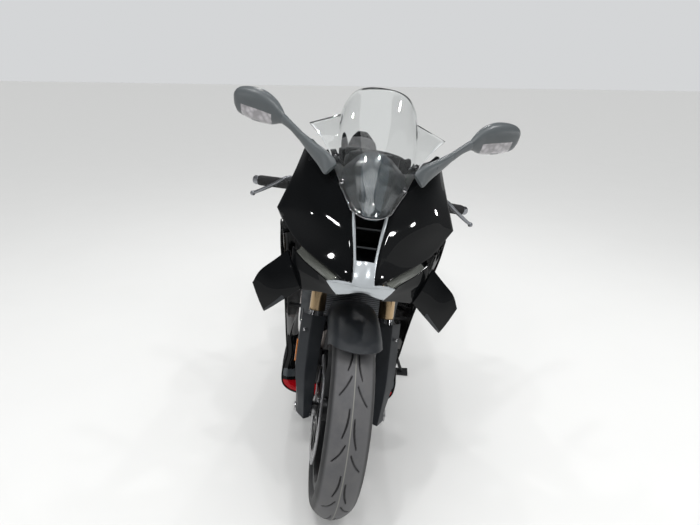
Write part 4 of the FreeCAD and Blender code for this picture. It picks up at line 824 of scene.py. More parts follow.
def studio():
    """Wide soft suns light the bike and the floor; a few small ceiling lamps give the paint its sparkle."""
    for name, place, power, spread in (
        ("overhead", (0.4, 0, 3), 1.25, 50), ("left_side", (1.5, 3, 2), 0.5, 60),
        ("right_side", (1.5, -3, 2), 0.5, 60), ("behind", (-3, 0.5, 2), 0.4, 60),
    ):
        sun = lamp(name, "SUN", place, (0, 0, 0), power, angle=math.radians(spread))
        sun.visible_glossy = False
    for k, (x, y) in enumerate(CEILING_LAMPS):
        aim = (x * 0.5, y * 0.3, 0.5)
        lamp(f"ceiling_lamp_{k}", "AREA", (x, y, CEILING_HEIGHT), aim, CEILING_POWER, shape="DISK",
             size=LAMP_SIZE)
    for k, place in enumerate(SIDE_LAMPS):
        lamp(f"side_lamp_{k}", "AREA", place, (0.75, 0, 0.88), SIDE_POWER, shape="DISK", size=LAMP_SIZE)
    world = bpy.data.worlds.new("studio")
    bpy.context.scene.world = world
    world.use_nodes = True
    tree = world.node_tree
    back = tree.nodes["Background"]
    back.inputs["Color"].default_value = (0.97, 0.985, 1, 1)
    path = tree.nodes.new("ShaderNodeLightPath")
    strength = None
    way = tree.nodes.new("ShaderNodeSeparateXYZ")
    tree.links.new(tree.nodes.new("ShaderNodeTexCoord").outputs["Generated"], way.inputs[0])
    for ray, low, high, level, above in BACKDROP:
        dim = tree.nodes.new("ShaderNodeMapRange")
        dim.interpolation_type = "SMOOTHSTEP"
        for socket, value in (("From Min", low), ("From Max", high), ("To Min", level), ("To Max", above)):
            dim.inputs[socket].default_value = value
        tree.links.new(way.outputs["Z"], dim.inputs["Value"])
        pick = tree.nodes.new("ShaderNodeMix")
        pick.inputs["A"].default_value = DIFFUSE_LEVEL
        tree.links.new(dim.outputs["Result"], pick.inputs["B"])
        tree.links.new(path.outputs[ray], pick.inputs["Factor"])
        if strength:
            tree.links.new(strength, pick.inputs["A"])
        strength = pick.outputs["Result"]
    tree.links.new(strength, back.inputs["Strength"])


def floor():
    bpy.ops.mesh.primitive_plane_add(size=160, location=(0, 0, 0))
    made = bpy.context.object
    made.name = "studio_floor"
    made.data.materials.append(plain_stage(FLOOR_COLOR))


camera()
studio()
floor()
bpy.context.scene.view_settings.view_transform = "Standard"

# The finish of each CAD node that stays

NODE_FINISH = {
    "frame": DARK_ALLOY, "subframe": DARK_ALLOY, "engine": ENGINE_METAL, "radiator": CORE, "exhaust": TINTED,
    "silencer": DARK_ALLOY, "fuel_tank": BLACK, "tail_cowl": BLACK, "rider_seat": LEATHER,
    "pillion_seat": LEATHER, "tail_light": RED_LENS, "plate_holder": PLASTIC, "swingarm": DARK_ALLOY,
    "rear_axle": STEEL, "rear_caliper": GOLD, "rear_shock": STEEL, "rear_hugger": PLASTIC, "chain": STEEL,
    "drive_sprocket": STEEL,
    "upper_fairing": BLACK, "nose_underside": BLACK, "side_fairing_left": BLACK, "side_fairing_right": BLACK,
    "belly_pan": BLACK, "headlights": SMOKED, "winglets": BLACK, "nose_frame": SILVER, "air_duct": PLASTIC,
    "windscreen": SCREEN, "screen_cowl": WEAVE, "mirrors": GREY_PLASTIC, "dash": PLASTIC,
    "fairing_stay": DARK_ALLOY, "rearsets": ALLOY, "fork_tubes": GOLD, "fork_sliders": POLISHED,
    "lower_clamp": DARK_ALLOY, "upper_clamp": DARK_ALLOY, "handlebars": RUBBER, "front_axle": STEEL,
    "front_calipers": DARK_ALLOY, "front_fender": FENDER_PLASTIC, "fork_guards": FENDER_PLASTIC,
    "front_tyre": TYRE, "front_rim": DARK_ALLOY, "front_disc_left": STEEL, "front_disc_right": STEEL,
    "rear_tyre": TYRE, "rear_rim": DARK_ALLOY, "rear_disc": STEEL, "rear_sprocket": STEEL,
    "side_stand": DARK_ALLOY,
}
for node_name, node in NODES.items():
    node.data.materials.clear()
    node.data.materials.append(NODE_FINISH[node_name])
    weld = node.modifiers.new("weld", "WELD")
    weld.merge_threshold = 0.00002
    softened(node, 1.0, 32)

# Nose: the panels, the trim between them, the lamps, the screen and the mirrors

UPPER_ROWS = [
    [(531, 178, 1066), (640, 128, 1040), (724, 84, 984), (774, 49, 934), (824, 36, 858), (868, 28, 775)],
    [(522, 188, 1064), (608, 178, 1018), (668, 164, 958), (710, 152, 900), (770, 106, 832), (866, 34, 777)],
    [(508, 194, 1058), (568, 214, 985), (602, 234, 925), (616, 252, 876), (708, 178, 812), (860, 42, 778)],
    [(500, 192, 1046), (560, 208, 968), (596, 224, 908), (610, 238, 846), (664, 170, 789), (852, 52, 774)],
]
UNDER_ROWS = [
    [(649, 195, 778), (706, 159, 764), (775, 113, 757.5), (841, 75, 755.6)],
    [(676, 192, 742), (724, 156, 734), (790, 108, 740), (850, 66, 748)],
    [(712, 172, 700), (738, 152, 690), (800, 102, 714), (862, 53, 736)],
]
shoulder = {0: (3,), 2: (3,), 3: (3,)}
bodied(shell("upper_fairing_panels", pair(net(UPPER_ROWS, 8, (2,), shoulder)), 4, BIKE, BLACK, back=BACKING),
       "black_gloss", "upper_fairing")
bodied(shell("nose_underside_panels", pair(net(UNDER_ROWS, 6, (1,))), 4, BIKE, BLACK, back=BACKING),
       "black_gloss", "nose_underside")

WING_STATIONS = [
    ((738, 154, 690), (664, 206, 770), 12), ((722, 190, 652), (668, 240, 738), 11),
    ((706, 226, 616), (676, 276, 704), 9), ((694, 254, 590), (680, 294, 666), 5),
]
blades = blade_rings(WING_STATIONS, (-0.5, -0.75, -0.42))
bodied(lofted("winglet_blades", blades, BIKE, BLACK, mirror=True, angle=50), "black_gloss", "winglets")
LIP_STATIONS = [
    ((722, 196, 648), (706, 214, 662), 3), ((710, 226, 616), (694, 240, 630), 3),
    ((696, 252, 590), (686, 264, 604), 2.4),
]
lips = blade_rings(LIP_STATIONS, (0.35, 0.5, -0.8), 5, 3)
bodied(lofted("winglet_lips", lips, BIKE, PLASTIC, mirror=True), "dark_plastic")

STRUT_ROWS = [
    [(776, 39, 930), (800, 32, 893), (828, 26.5, 857), (860, 22, 828), (889, 19, 804)],
    [(779, 42.5, 931), (803, 36.5, 894), (831, 29.5, 857), (863, 24.5, 827), (892, 22.5, 802)],
    [(778, 46, 929), (801, 40, 891), (828, 32.5, 854), (861, 28, 824), (890, 26, 799)],
]
TONGUE_HALF = [
    [(868, 23, 836), (871, 12, 837), (872, 0, 838)],
    [(892, 25, 806), (895, 13, 807), (896, 0, 808)],
    [(900, 28, 786), (906, 14, 786), (909, 0, 786)],
    [(831, 88, 760), (880, 38, 774), (905, 0, 783)],
    [(845, 74, 748), (884, 34, 763), (903, 0, 774)],
    [(856, 59, 737), (879, 31, 752), (893, 0, 766)],
]
struts = shell("nose_struts", pair(net(STRUT_ROWS, 4, (1,))), 8, BIKE, SILVER, edge=1.2)
tongue_rows = [row + mirrored(row[-2::-1]) for row in TONGUE_HALF]
tongue = shell("nose_tongue", [(net(tongue_rows, 3, (2, 3, 4), (1, 3)), False)], 6, BIKE, SILVER, edge=1.4)
bodied(joined("nose_trim", [struts, tongue]), "silver_trim", "nose_frame")

LAMP_ROWS = [
    [(652, 161, 791), (712, 127, 785), (782, 87, 781), (836, 57, 776)],
    [(660, 168, 788), (716, 138, 782), (781, 99, 777), (836, 68, 771)],
    [(664, 172, 781), (716, 146, 775), (778, 108, 769), (834, 78, 763)],
    [(667, 182, 771), (719, 151, 764), (780, 109, 759), (836, 75, 757)],
]
lamp_net = net(LAMP_ROWS, 5)
lenses = shell("headlight_lenses", pair(lamp_net), 2.5, BIKE, SMOKED, edge=0.6)
bodied(lenses, "lamp", "headlights")
moves = ((-8, -14, 4), (-11, -11, -2), (-12, -10, -6), (-5, -4, -9))
housing_rows = [[Vector(p) + Vector(move) for p in row] for row, move in zip(LAMP_ROWS, moves)]
bodied(shell("headlight_housings", pair(net(housing_rows, 4)), 3, BIKE, REFLECTOR), "dark_plastic")
bar_line = [(690, 150, 776.5), (740, 120, 772), (790, 93, 768), (826, 74, 765)]
for side, word in SIDES:
    line = [(x - 3, side * (y - 3), z - 1) for x, y, z in bar_line]
    bodied(pipe(f"light_bar_{word}", line, 2.6, BIKE, LIGHT_BAR, sides=12), "lamp")

SCREEN_HALF = [
    [(824, 0, 932), (822, 10, 932), (815, 22, 932), (800, 36, 934), (790, 44, 937), (778, 52, 939)],
    [(790, 0, 957), (788, 16, 956), (782, 32, 953), (771, 48, 951), (764, 56, 955), (756, 65, 959)],
    [(748, 0, 1015), (746, 26, 1012), (741, 48, 1005), (733, 68, 997), (729, 78, 992), (724, 87, 988)],
    [(692, 0, 1088), (690, 34, 1084), (685, 62, 1072), (678, 86, 1058), (675, 98, 1050), (670, 114, 1040)],
    [(624, 0, 1158), (622, 40, 1154), (618, 74, 1140), (615, 96, 1122), (615, 106, 1106), (618, 152, 1084)],
    [(540, 0, 1229), (540, 44, 1225), (540, 76, 1210), (541, 98, 1178), (546, 108, 1146), (560, 191, 1113)],
]
screen_net = net(across_middle(SCREEN_HALF), 6, (), (1, 9))
bodied(shell("windscreen_clear", [(screen_net, False)], 3, BIKE, SCREEN, edge=0.8), "clear", "windscreen")
COWL_HALF = [
    [(818, 0, 926), (817, 8, 926), (815, 15, 926)],
    [(784, 0, 950), (780, 28, 946), (769, 47, 933)],
    [(740, 0, 1006), (734, 48, 996), (717, 79, 979)],
    [(680, 0, 1046), (672, 50, 1034), (665, 83, 1011)],
    [(608, 0, 1062), (606, 26, 1058), (604, 47, 1048)],
]
cowl_net = net(across_middle(COWL_HALF), 10, (), (1, 3))
cowl = shell("carbon_cowl", [(cowl_net, False)], 3, BIKE, WEAVE, edge=0.8)
cowl.data.materials.append(SHADED_WEAVE)
# The paler band up the cowl's middle is a painted sheen, and the darker weave on its flanks is painted shade:
# the height of the band's foot, its half width there and its spread
SHEEN_BAND_FOOT, SHEEN_BAND_HALF, SHEEN_BAND_SPREAD = 926, 21, 0.16
for face in cowl.data.polygons:
    spot = to_bike @ face.center
    face.material_index = int(abs(spot.y) > SHEEN_BAND_HALF + (spot.z - SHEEN_BAND_FOOT) * SHEEN_BAND_SPREAD)
bodied(cowl, "carbon", "screen_cowl")

screen_edge = [(724, 87, 988), (756, 65, 959), (778, 52, 939), (790, 44, 937), (800, 36, 934), (815, 22, 932),
               (824, 0, 932)]
edge_line = screen_edge + [(x, -y, z) for x, y, z in screen_edge[-2::-1]]
trim_line = [(x - 1, y, z - 1) for x, y, z in edge_line]
bodied(pipe("screen_edge_trim", trim_line, 1.5, BIKE, POLISHED, sides=10, steps=4), "silver_trim")

LINER_ROWS = [
    [(540, 172, 1052), (640, 121, 1028), (714, 84, 974), (750, 62, 946)],
    [(540, 100, 1020), (640, 62, 1006), (698, 50, 980), (742, 38, 950)],
]
bodied(shell("screen_liner", pair(net(LINER_ROWS, 6)), 2.5, BIKE, PLASTIC, edge=0.4), "dark_plastic")

screen_spots = both_sides([((728, 81, 994), (0.55, 0.5, 0.67)), ((664, 110, 1047), (0.5, 0.6, 0.62))])
bodied(screws("screen_screws", screen_spots, 6.5, 3, BIKE, POLISHED), "steel")

MIRROR_ARM = [
    ((714, 113, 1018), 19, 4, (-0.5, -0.2, 0.8)), ((702, 120, 1024), 24, 10, (-0.3, -0.1, 0.9)),
    ((678, 140, 1039), 24, 13, (0.1, 0, 0.95)), ((648, 172, 1058), 18, 12, (0.3, 0, 0.95)),
    ((619, 203, 1078), 12.5, 8.5, (0.3, 0, 0.95)), ((617, 205, 1079), 11.5, 7.5, (0.3, 0, 0.95)),
    ((615, 207, 1080), 12.5, 8.5, (0.3, 0, 0.95)), ((590, 233, 1097), 11, 8.5, (0.3, 0, 0.95)),
    ((562, 262, 1112), 14, 10, (0.3, 0, 0.95)),
]
MIRROR_HEAD = [
    ((562, 262, 1112), 14, 10), ((546, 278, 1120), 27, 17), ((528, 296, 1126), 38, 24),
    ((504, 330, 1134), 46, 31), ((484, 368, 1139), 45, 31), ((469, 400, 1142), 37, 25),
    ((463, 414, 1142.5), 24, 15),
]
arm = lofted("mirror_arms", loft_path(MIRROR_ARM, 3, (0.3, 0, 0.95), 0.85), BIKE, GREY_PLASTIC, mirror=True,
             angle=28)
head = lofted("mirror_heads", loft_path(MIRROR_HEAD, 5, (0.3, 0, 0.95), 0.72, 0.55), BIKE, GREY_PLASTIC,
              mirror=True)
head.data.materials.append(PALE_LENS)
# The pale lens in the front of each head: how far out it runs, and how far below a line that rises outward
LENS_INNER, LENS_OUTER, LENS_TOP, LENS_FOOT = 298, 392, -2, -34
LINE_HEIGHT, LINE_START, LINE_RISE = 1122, 300, 0.1
for face in head.data.polygons:
    spot, way = to_bike @ face.center, to_bike.to_3x3() @ face.normal
    above_line = spot.z - LINE_HEIGHT - (abs(spot.y) - LINE_START) * LINE_RISE
    faces_ahead = way.normalized().x > 0.25
    if LENS_INNER < abs(spot.y) < LENS_OUTER and faces_ahead and LENS_FOOT < above_line < LENS_TOP:
        face.material_index = 1
bodied(joined("mirror_shells", [arm, head]), "dark_plastic", "mirrors")


def mirror_glass(side):
    """A rounded pane set in the back of a mirror's head."""
    count, half_wide, half_high, share = 28, 56, 35, 0.8
    rim_line = [(pressed(math.cos(a), share) * half_wide, pressed(math.sin(a), share) * half_high)
                for a in (TURN * k / count for k in range(count))]
    out = Vector((-0.46, 0.88, 0.1)).normalized()
    up = Vector((0.1, 0.0, 1.0)).normalized()
    back = out.cross(up).normalized()
    back = back if back.x < 0 else -back
    middle = Vector((497, 346, 1137)) + back * 16
    rings = [[middle + out * u * s + up * v * s + back * lift for u, v in rim_line]
             for s, lift in ((1.0, -8), (1.0, 0.5), (0.97, 1.6), (0.05, 2.2))]
    if side == RIGHT:
        rings = [mirrored(ring) for ring in rings]
    return lofted(f"mirror_glass_{side}", rings, BIKE, MIRROR)


bodied(joined("mirror_panes", [mirror_glass(LEFT), mirror_glass(RIGHT)]), "silver_trim")

# Tyres: a fine grid whose grooves are sunk into it

PITCHES = 11
# Where each groove starts and ends, in shares of the pitch and of half the width, and its half width
GROOVES = (((0.04, 0.14), (0.46, 0.34), 1.9), ((0.56, 0.16), (0.84, 0.66), 2.1))
GROOVE_DEPTH, GROOVE_BOW = 3.6, 3.5


def tyre_half(radius, half, bead):
    """Points of the outer line from the middle to the bead: radius, distance from the middle."""
    knots = [(0, 0), (0.11, 0.44), (0.44, 0.88), (0.83, 1)]
    line = [(radius - half * drop, half * out, 0) for drop, out in knots]
    shape = through(line + [(BEAD_RADIUS + 13, bead, 0)], 16)
    tread = [(min(p.x, radius), min(p.y, half)) for p in shape[2:]]
    return [(radius, 0.0), (radius, 0.9), (radius - 0.02, 1.7)] + tread + [(BEAD_RADIUS, bead)]


def groove(along, out, pitch, half):
    """How deep the tread is sunk, from 0 to 1, a distance along one pitch and out from the middle."""
    deepest = 0.0
    for (a0, o0), (a1, o1), wide in GROOVES:
        a0, a1, o0, o1 = a0 * pitch, a1 * pitch, o0 * half, o1 * half
        run_a, run_o = a1 - a0, o1 - o0
        share = ((along - a0) * run_a + (out - o0) * run_o) / (run_a ** 2 + run_o ** 2)
        share = min(max(share, 0), 1)
        bow = math.sin(math.pi * share) * GROOVE_BOW
        away = math.hypot(along - a0 - run_a * share, out - o0 - run_o * share + bow)
        taper = 0.35 + 0.65 * math.sin(math.pi * min(max(share, 0.06), 0.94)) ** 0.5
        deepest = max(deepest, min(max(1.7 - away / (wide * taper), 0), 1))
    return deepest


def tyre(name, radius, half, bead, pose, around=660):
    side = tyre_half(radius, half, bead)
    section = [(r, -y) for r, y in reversed(side[1:])] + side
    wide = len(section)
    run = [0.0]
    for (r0, y0), (r1, y1) in zip(section, section[1:]):
        run.append(run[-1] + math.hypot(r1 - r0, y1 - y0))
    middle = run[wide // 2]
    pitch = TURN * radius / PITCHES
    points, tread, line = [], [], []
    for i in range(around):
        turn = TURN * i / around
        for k, (r, y) in enumerate(section):
            out = abs(run[k] - middle)
            shift = 0.14 * pitch if y < 0 else 0.0
            depth = groove((shift - turn * radius) % pitch, out, pitch, half) if out < half * 0.95 else 0.0
            rib = 0.5 * (abs(out - half * 1.42) < 2.2) * (k not in (0, wide - 1))
            reach = r - depth * GROOVE_DEPTH + rib
            x, z = polar(reach, turn)
            points.append((x, y - math.copysign(depth * 0.8, y), z))
            edge = min(max((half * 1.02 - out) / (half * 0.16), 0), 1)
            tread.append(edge * (1 - min(depth * 1.6, 1)))
            line.append(0.55 if abs(y) < 1 and depth == 0 else 0.0)
    faces = grid_faces(around, wide, 0)
    faces += [((around - 1) * wide + k, (around - 1) * wide + k + 1, k + 1, k) for k in range(wide - 1)]
    faces += [(i * wide + wide - 1, i * wide, (i + 1) % around * wide, (i + 1) % around * wide + wide - 1)
              for i in range(around)]
    made = as_object(name, points, faces, pose, TYRE)
    for label, values in (("tread", tread), ("line", line)):
        made.data.attributes.new(label, "FLOAT", "POINT").data.foreach_set("value", values)
    return shaded(outward(made), 40)


on_body(tyre("front_tyre_tread", FRONT_RADIUS, FRONT_HALF, FRONT_BEAD, FRONT_HUB), "front_wheel", "tyre",
        "front_tyre")
on_body(tyre("rear_tyre_tread", REAR_RADIUS, REAR_HALF, REAR_BEAD, REAR_HUB), "rear_wheel", "tyre",
        "rear_tyre")

# Brake discs: a drilled ring on buttons, and a carrier


def drilled_disc(name, radius, band, y, pose):
    """The brake ring with rows of holes and open slots, its middle at y."""
    hole, step = 3.6, 15
    holes = []
    for k in range(360 // step):
        start = math.radians(k * step)
        for n, share in enumerate((0.22, 0.5, 0.78)):
            a = start + math.radians(n * step * 0.26)
            holes.append(ring_of(hole, 12, polar(radius - band * share, a), a))
        a = start + math.radians(step * 0.72)
        near, far = radius - band * 0.72, radius - band * 0.3
        slot = ((near, -0.018), (near - 3, 0), (near, 0.018), (far, 0.03), (far + 3, 0.016), (far, -0.002))
        holes.append([polar(r, a + u) for r, u in slot])
    outlines = [ring_of(radius, 160), ring_of(radius - band, 120)] + holes
    ring = flat_cut(name, outlines, DISC_THICK, at_y(pose, y), DISC_STEEL)
    return mapped_around(ring, pose)


def disc_carrier(name, radius, band, arms, y, pose):
    """The black centre: a ring round the hub, and arms out to the buttons that hold the brake ring."""
    centre, tip = 48, radius - band + 1
    arm = ((centre, -math.pi / arms), (centre + 2, -0.26), (tip - 10, -7.5 / tip), (tip, -8.5 / tip),
           (tip, 8.5 / tip), (tip - 10, 7.5 / tip), (centre + 2, 0.26))
    turns = [TURN * k / arms for k in range(arms)]
    outline = [polar(r, a + u) for a in turns for r, u in arm]
    hub = flat_cut(name, [outline, ring_of(13.5, 40)], DISC_THICK - 0.6, at_y(pose, y), DARK_ALLOY)
    section = [(2.5, -3.4), (7.5, -3.4), (8.2, -2.4), (8.2, 2.4), (7.5, 3.4), (2.5, 3.4)]
    button = lathe(f"{name}_button", section, NO_POSE, STEEL, 24)
    places = [(x, y, z) for x, z in (polar(tip - 0.5, a) for a in turns)]
    buttons = repeated(f"{name}_buttons", button, [Matrix.Translation(place) for place in places], pose)
    return joined(name, [hub, buttons])


def bolt_ring(name, radius, count, y, side, pose):
    spots = [((x, y, z), (0, side, 0)) for x, z in ring_of(radius, count)]
    return screws(name, spots, 7, 4, pose, STEEL)


for side, word in SIDES:
    y = side * (DISC_FACE + DISC_THICK / 2)
    ring = drilled_disc(f"brake_ring_{word}", DISC_RADIUS, DISC_BAND, y, FRONT_HUB)
    centre = disc_carrier(f"disc_carrier_{word}", DISC_RADIUS, DISC_BAND, 8, y, FRONT_HUB)
    bolts = bolt_ring(f"disc_bolts_{word}", 40, 5, side * (DISC_FACE + DISC_THICK), side, FRONT_HUB)
    on_body(joined(f"front_brake_disc_{word}", [ring, centre, bolts]), "front_wheel", "disc",
            f"front_disc_{word}")

# Front mudguard and the covers of the fork legs

TOP = FRONT_RADIUS + 34
# y, drop below the top, and the angle at which the mudguard starts
FENDER_STATIONS = ((-74, 70, 74), (-71, 36, 69), (-50, 9, 63), (0, 0, 60.3), (50, 9, 63), (71, 36, 69),
                   (74, 70, 74))
fender_rows = []
for y, drop, start in FENDER_STATIONS:
    fender_rows += polar_rows([(y, TOP - drop)], [start, start + 9, 96, 118, 138, 159.7])
fender = shell("front_fender_panel", [(net(fender_rows, 7), False)], 3, FRONT_HUB, FENDER_PLASTIC, flip=True,
               edge=1.0)
fender_studs = []
x, z = polar(TOP - 62.4, RAKE + math.pi / 2)
for side in (LEFT, RIGHT):
    line = [(x, side * 71, z), (x, side * 84.5, z)]
    fender_studs.append(pipe(f"fender_stud_{side}", line, 8, FRONT_HUB, FENDER_PLASTIC, steps=1))
on_body(joined("front_mudguard", [fender] + fender_studs), "steering", "dark_plastic", "front_fender")

GUARD_ROWS = [
    [(-130, 150, 262), (-84, 149, 270), (-56, 120, 276), (-66, 78, 272)],
    [(-96, 151, 190), (-52, 150, 190), (-22, 122, 190), (-34, 84, 190)],
    [(-70, 150, 110), (-12, 148, 110), (22, 120, 110), (4, 86, 110)],
    [(-36, 138, 40), (28, 130, 40), (56, 112, 40), (44, 88, 40)],
    [(34, 131, 6), (46, 124, 6), (68, 108, 6), (58, 92, 6)],
]
guards = shell("fork_guard_panels", pair(net(GUARD_ROWS, 6, (), (1, 2))), 3, FRONT_HUB, FENDER_PLASTIC,
               edge=2.2)
guard_studs = []
for side in (LEFT, RIGHT):
    for z in (120, 200):
        x = -z * math.tan(RAKE)
        line = [(x, side * 127.3, z), (x, side * 148.4, z)]
        guard_studs.append(pipe(f"guard_stud_{side}_{z}", line, 7, FRONT_HUB, DARK_ALLOY, steps=1))
guard_spots = both_sides([((-48, 138, 232), (0.45, 0.88, 0.12)), ((-112, 151, 226), (0, 1, 0))])
guard_screws = screws("guard_screws", guard_spots, 5, 2.2, FRONT_HUB, POLISHED)
reflectors = []
corners = [(-92, 178), (-70, 184), (-48, 124), (-66, 118)]
for side in (LEFT, RIGHT):
    start, end = sorted((side * 149.5, side * 154.5))
    reflectors.append(prism(f"reflector_{side}", corners, start, end, FRONT_HUB, ORANGE_LENS, 1.5))
on_body(joined("fork_guards_fitted", [guards, guard_screws] + guard_studs + reflectors), "steering",
        "dark_plastic", "fork_guards")

# Bodywork behind the nose

# x, height of the top, then half width and height at the shoulder, the knee and the foot
TANK_ROWS = [
    (318, 905, 44, 894, 48, 872, 44, 850), (290, 944, 88, 918, 96, 880, 88, 830),
    (235, 984, 126, 956, 130, 892, 112, 810), (160, 1004, 156, 962, 146, 888, 128, 782),
    (100, 1006, 166, 958, 138, 884, 126, 764), (50, 1000, 160, 948, 130, 876, 122, 752),
    (0, 982, 142, 930, 108, 860, 108, 749), (-40, 950, 114, 906, 94, 846, 94, 749),
    (-75, 908, 90, 872, 84, 826, 84, 750), (-99.6, 866, 74, 842, 76, 806, 76, 752),
]


def tank_rings():
    rows = []
    for x, top, shoulder, shoulder_z, knee, knee_z, foot, foot_z in TANK_ROWS:
        half = [(shoulder * 0.5, top - 3), (shoulder * 0.86, (top + shoulder_z) / 2 + 6),
                (shoulder, shoulder_z), ((shoulder + knee) / 2 + 1, (shoulder_z + knee_z) / 2),
                (knee, knee_z), (foot, foot_z)]
        rows.append([(x, y, z) for y, z in reversed(half)] + [(x, 0, top)] + [(x, -y, z) for y, z in half])
    return net(rows, 5)


tank = lofted("tank_shell", tank_rings(), BIKE, BLACK, angle=40)
cap_way = Vector((0.06, 0, 1))
cap_pose = facing(BIKE, (150, 0, 1003.5), cap_way)
cap_section = [(0, -3), (42, -3), (42, 1), (40, 2.2), (31, 2.4), (29.5, 1.2), (28, 1.2), (26.5, 2.8),
               (8, 3.2), (7, 2.2), (0, 2.2)]
cap = lathe("filler_cap", cap_section, cap_pose, DARK_ALLOY, 64, closed=False)
cap_spots = [((150 + x, y, 1006 - x * 2.2 / 36), cap_way) for x, y in ring_of(36, 6)]
cap_bolts = screws("cap_screws", cap_spots, 3.2, 1.2, BIKE, STEEL)
bodied(joined("fuel_tank_fitted", [tank, cap, cap_bolts]), "black_gloss", "fuel_tank")

# x, half width, lowest and highest
TAIL_STATIONS = [
    (-100, 104, 752, 806), (-180, 116, 750, 808), (-250, 118, 758, 814), (-340, 112, 774, 834),
    (-420, 100, 796, 858), (-510, 88, 836, 892), (-600, 76, 880, 925), (-680, 66, 906, 948),
    (-740, 58, 925, 962), (-850, 30, 955, 980),
]
tail_rings = rounded_rings(TAIL_STATIONS, 0.5)
bodied(lofted("tail_shell", tail_rings, BIKE, BLACK, edge=0.8), "black_gloss", "tail_cowl")
LENS_STATIONS = [(-850.3, 28, 955, 979), (-862, 27, 956, 978), (-870, 20, 960, 974)]
lens_rings = rounded_rings(LENS_STATIONS, 0.4)
bodied(lofted("tail_lens", lens_rings, BIKE, RED_LENS, edge=0.8), "red_lens", "tail_light")

SIDE_ROWS = [
    [(606, 236, 842), (500, 246, 800), (380, 240, 790), (250, 222, 780)],
    [(585, 232, 760), (470, 240, 740), (340, 236, 720), (190, 214, 700)],
    [(520, 225, 650), (420, 232, 640), (290, 228, 630), (110, 208, 620)],
    [(452, 218, 550), (360, 223, 545), (220, 220, 540), (40, 200, 545)],
    [(432, 208, 455), (330, 213, 455), (180, 211, 455), (-40, 194, 455)],
    [(440, 198, 385), (320, 204, 380), (160, 203, 375), (-30, 190, 385)],
    [(446, 188, 320), (310, 196, 312), (150, 195, 300), (15, 187, 318)],
]
BELLY_ROWS = [
    [(446, 188, 319.7), (310, 196, 311.7), (150, 195, 299.7), (15, 187, 317.7)],
    [(452, 198, 246), (330, 204, 240), (160, 200, 238), (24, 184, 240)],
    [(446, 186, 190), (320, 192, 176), (155, 188, 174), (32, 170, 182)],
    [(430, 130, 156), (310, 128, 140), (150, 124, 138), (38, 110, 146)],
    [(424, 0, 150), (310, 0, 134), (150, 0, 132), (40, 0, 140)],
]
VENT = [(398, 634), (262, 606), (214, 486), (326, 512)]
SLAT = ((-9, -1.5), (-4, -3), (5, -3), (9, 0), (5, 3), (-4, 2), (-9, 0))
SIDE_SCREWS = ((560, 238.5, 790), (270, 226.5, 762), (90, 205.5, 560), (400, 205.5, 392), (30, 196.5, 392))


def side_panel(side, word):
    panel_net = net(SIDE_ROWS, 7, (2,))
    if side == RIGHT:
        panel_net = [mirrored(row) for row in panel_net]
    wall = shell(f"side_wall_{word}", [(panel_net, side == RIGHT)], 4, BIKE, BLACK, edge=1.2, back=BACKING)
    wall = cut_by(wall, prism(f"vent_{word}", VENT, *sorted((side * 150, side * 300)), BIKE, BLACK, 0))
    parts = [shaded(settled(softened(wall, 0.8, 50)), 40)]
    for x in (366, 318):
        rings = [[(px + u, side * (py + v), pz) for u, v in SLAT]
                 for px, py, pz in ((x, 229, 650), (x - 35, 221.7, 569), (x - 70, 214.5, 488))]
        parts.append(lofted(f"slat_{word}_{x}", rings, BIKE, PLASTIC, edge=0.4))
    for n, (x, y, z, out) in enumerate(((240, 119, 700, 216), (388, 164.3, 480, 206))):
        line = [(x, side * y, z), (x, side * out, z)]
        parts.append(pipe(f"side_stud_{word}_{n}", line, 7, BIKE, DARK_ALLOY, steps=1))
    spots = [((x, side * y, z), (0, side, -0.06)) for x, y, z in SIDE_SCREWS]
    parts.append(screws(f"side_screws_{word}", spots, 6, 2, BIKE, STEEL))
    bodied(joined(f"side_fairing_fitted_{word}", parts), "fairing_lower", f"side_fairing_{word}")


for side, word in SIDES:
    side_panel(side, word)

full_belly = BELLY_ROWS + [mirrored(row) for row in reversed(BELLY_ROWS[:-1])]
belly = shell("belly_wall", [(net(full_belly, 6), False)], 4, BIKE, BLACK, edge=1.2, back=BACKING)
LIP_EDGE = [(440, 198, 385), (446, 188, 320), (452, 198, 246), (446, 186, 190), (430, 130, 156),
            (424, 0, 150)]
LIP_INNER = [(420, 158, 385), (424, 148, 322), (430, 156, 252), (424, 148, 210), (410, 108, 196),
             (404, 0, 190)]
lip_rows = []
for share, ahead in ((0.03, -1.5), (0.5, 5), (1, 0)):
    half = [Vector(a).lerp(Vector(b), share) + Vector((ahead, 0, 0)) for a, b in zip(LIP_EDGE, LIP_INNER)]
    lip_rows.append(half + mirrored(half[-2::-1]))
lip = shell("belly_lip", [(net(lip_rows, 14), False)], 3, BIKE, BLACK, flip=True, edge=0.6)
lip.data.materials.append(RED)
lip.data.materials.append(GREY_STRIPE)
# The red patch and the grey stripe above it, bounded by lines that rise by a quarter outward
RED_TOP, RED_INNER, STRIPE_FOOT, STRIPE_TOP = 216, 60, 230, 262
for face in lip.data.polygons:
    spot = to_bike @ face.center
    height = spot.z + (190 - abs(spot.y)) * 0.25
    if height < RED_TOP and abs(spot.y) > RED_INNER:
        face.material_index = 1
    elif STRIPE_FOOT < height < STRIPE_TOP:
        face.material_index = 2
bodied(joined("belly_pan_fitted", [belly, lip]), "fairing_lower", "belly_pan")

# Seats: a padded cover over each base, swollen by a short cloth simulation, with piping sewn round it

SEAT_SHARE, SEAM_SHARE_UP, SWELL_MM, FRAMES = 0.5, 38 / 360, 5, 20
SEAT_STATIONS = [
    (-107, 74, 798, 842), (-150, 94, 796, 838), (-200, 108, 798, 840), (-270, 112, 806, 848),
    (-330, 110, 818, 864), (-380, 104, 832, 882), (-413, 94, 846, 898),
]
PILLION_STATIONS = [
    (-433, 76, 850, 908), (-460, 82, 860, 922), (-520, 80, 880, 934), (-590, 74, 900, 952),
    (-640, 66, 912, 962), (-697, 48, 930, 966),
]


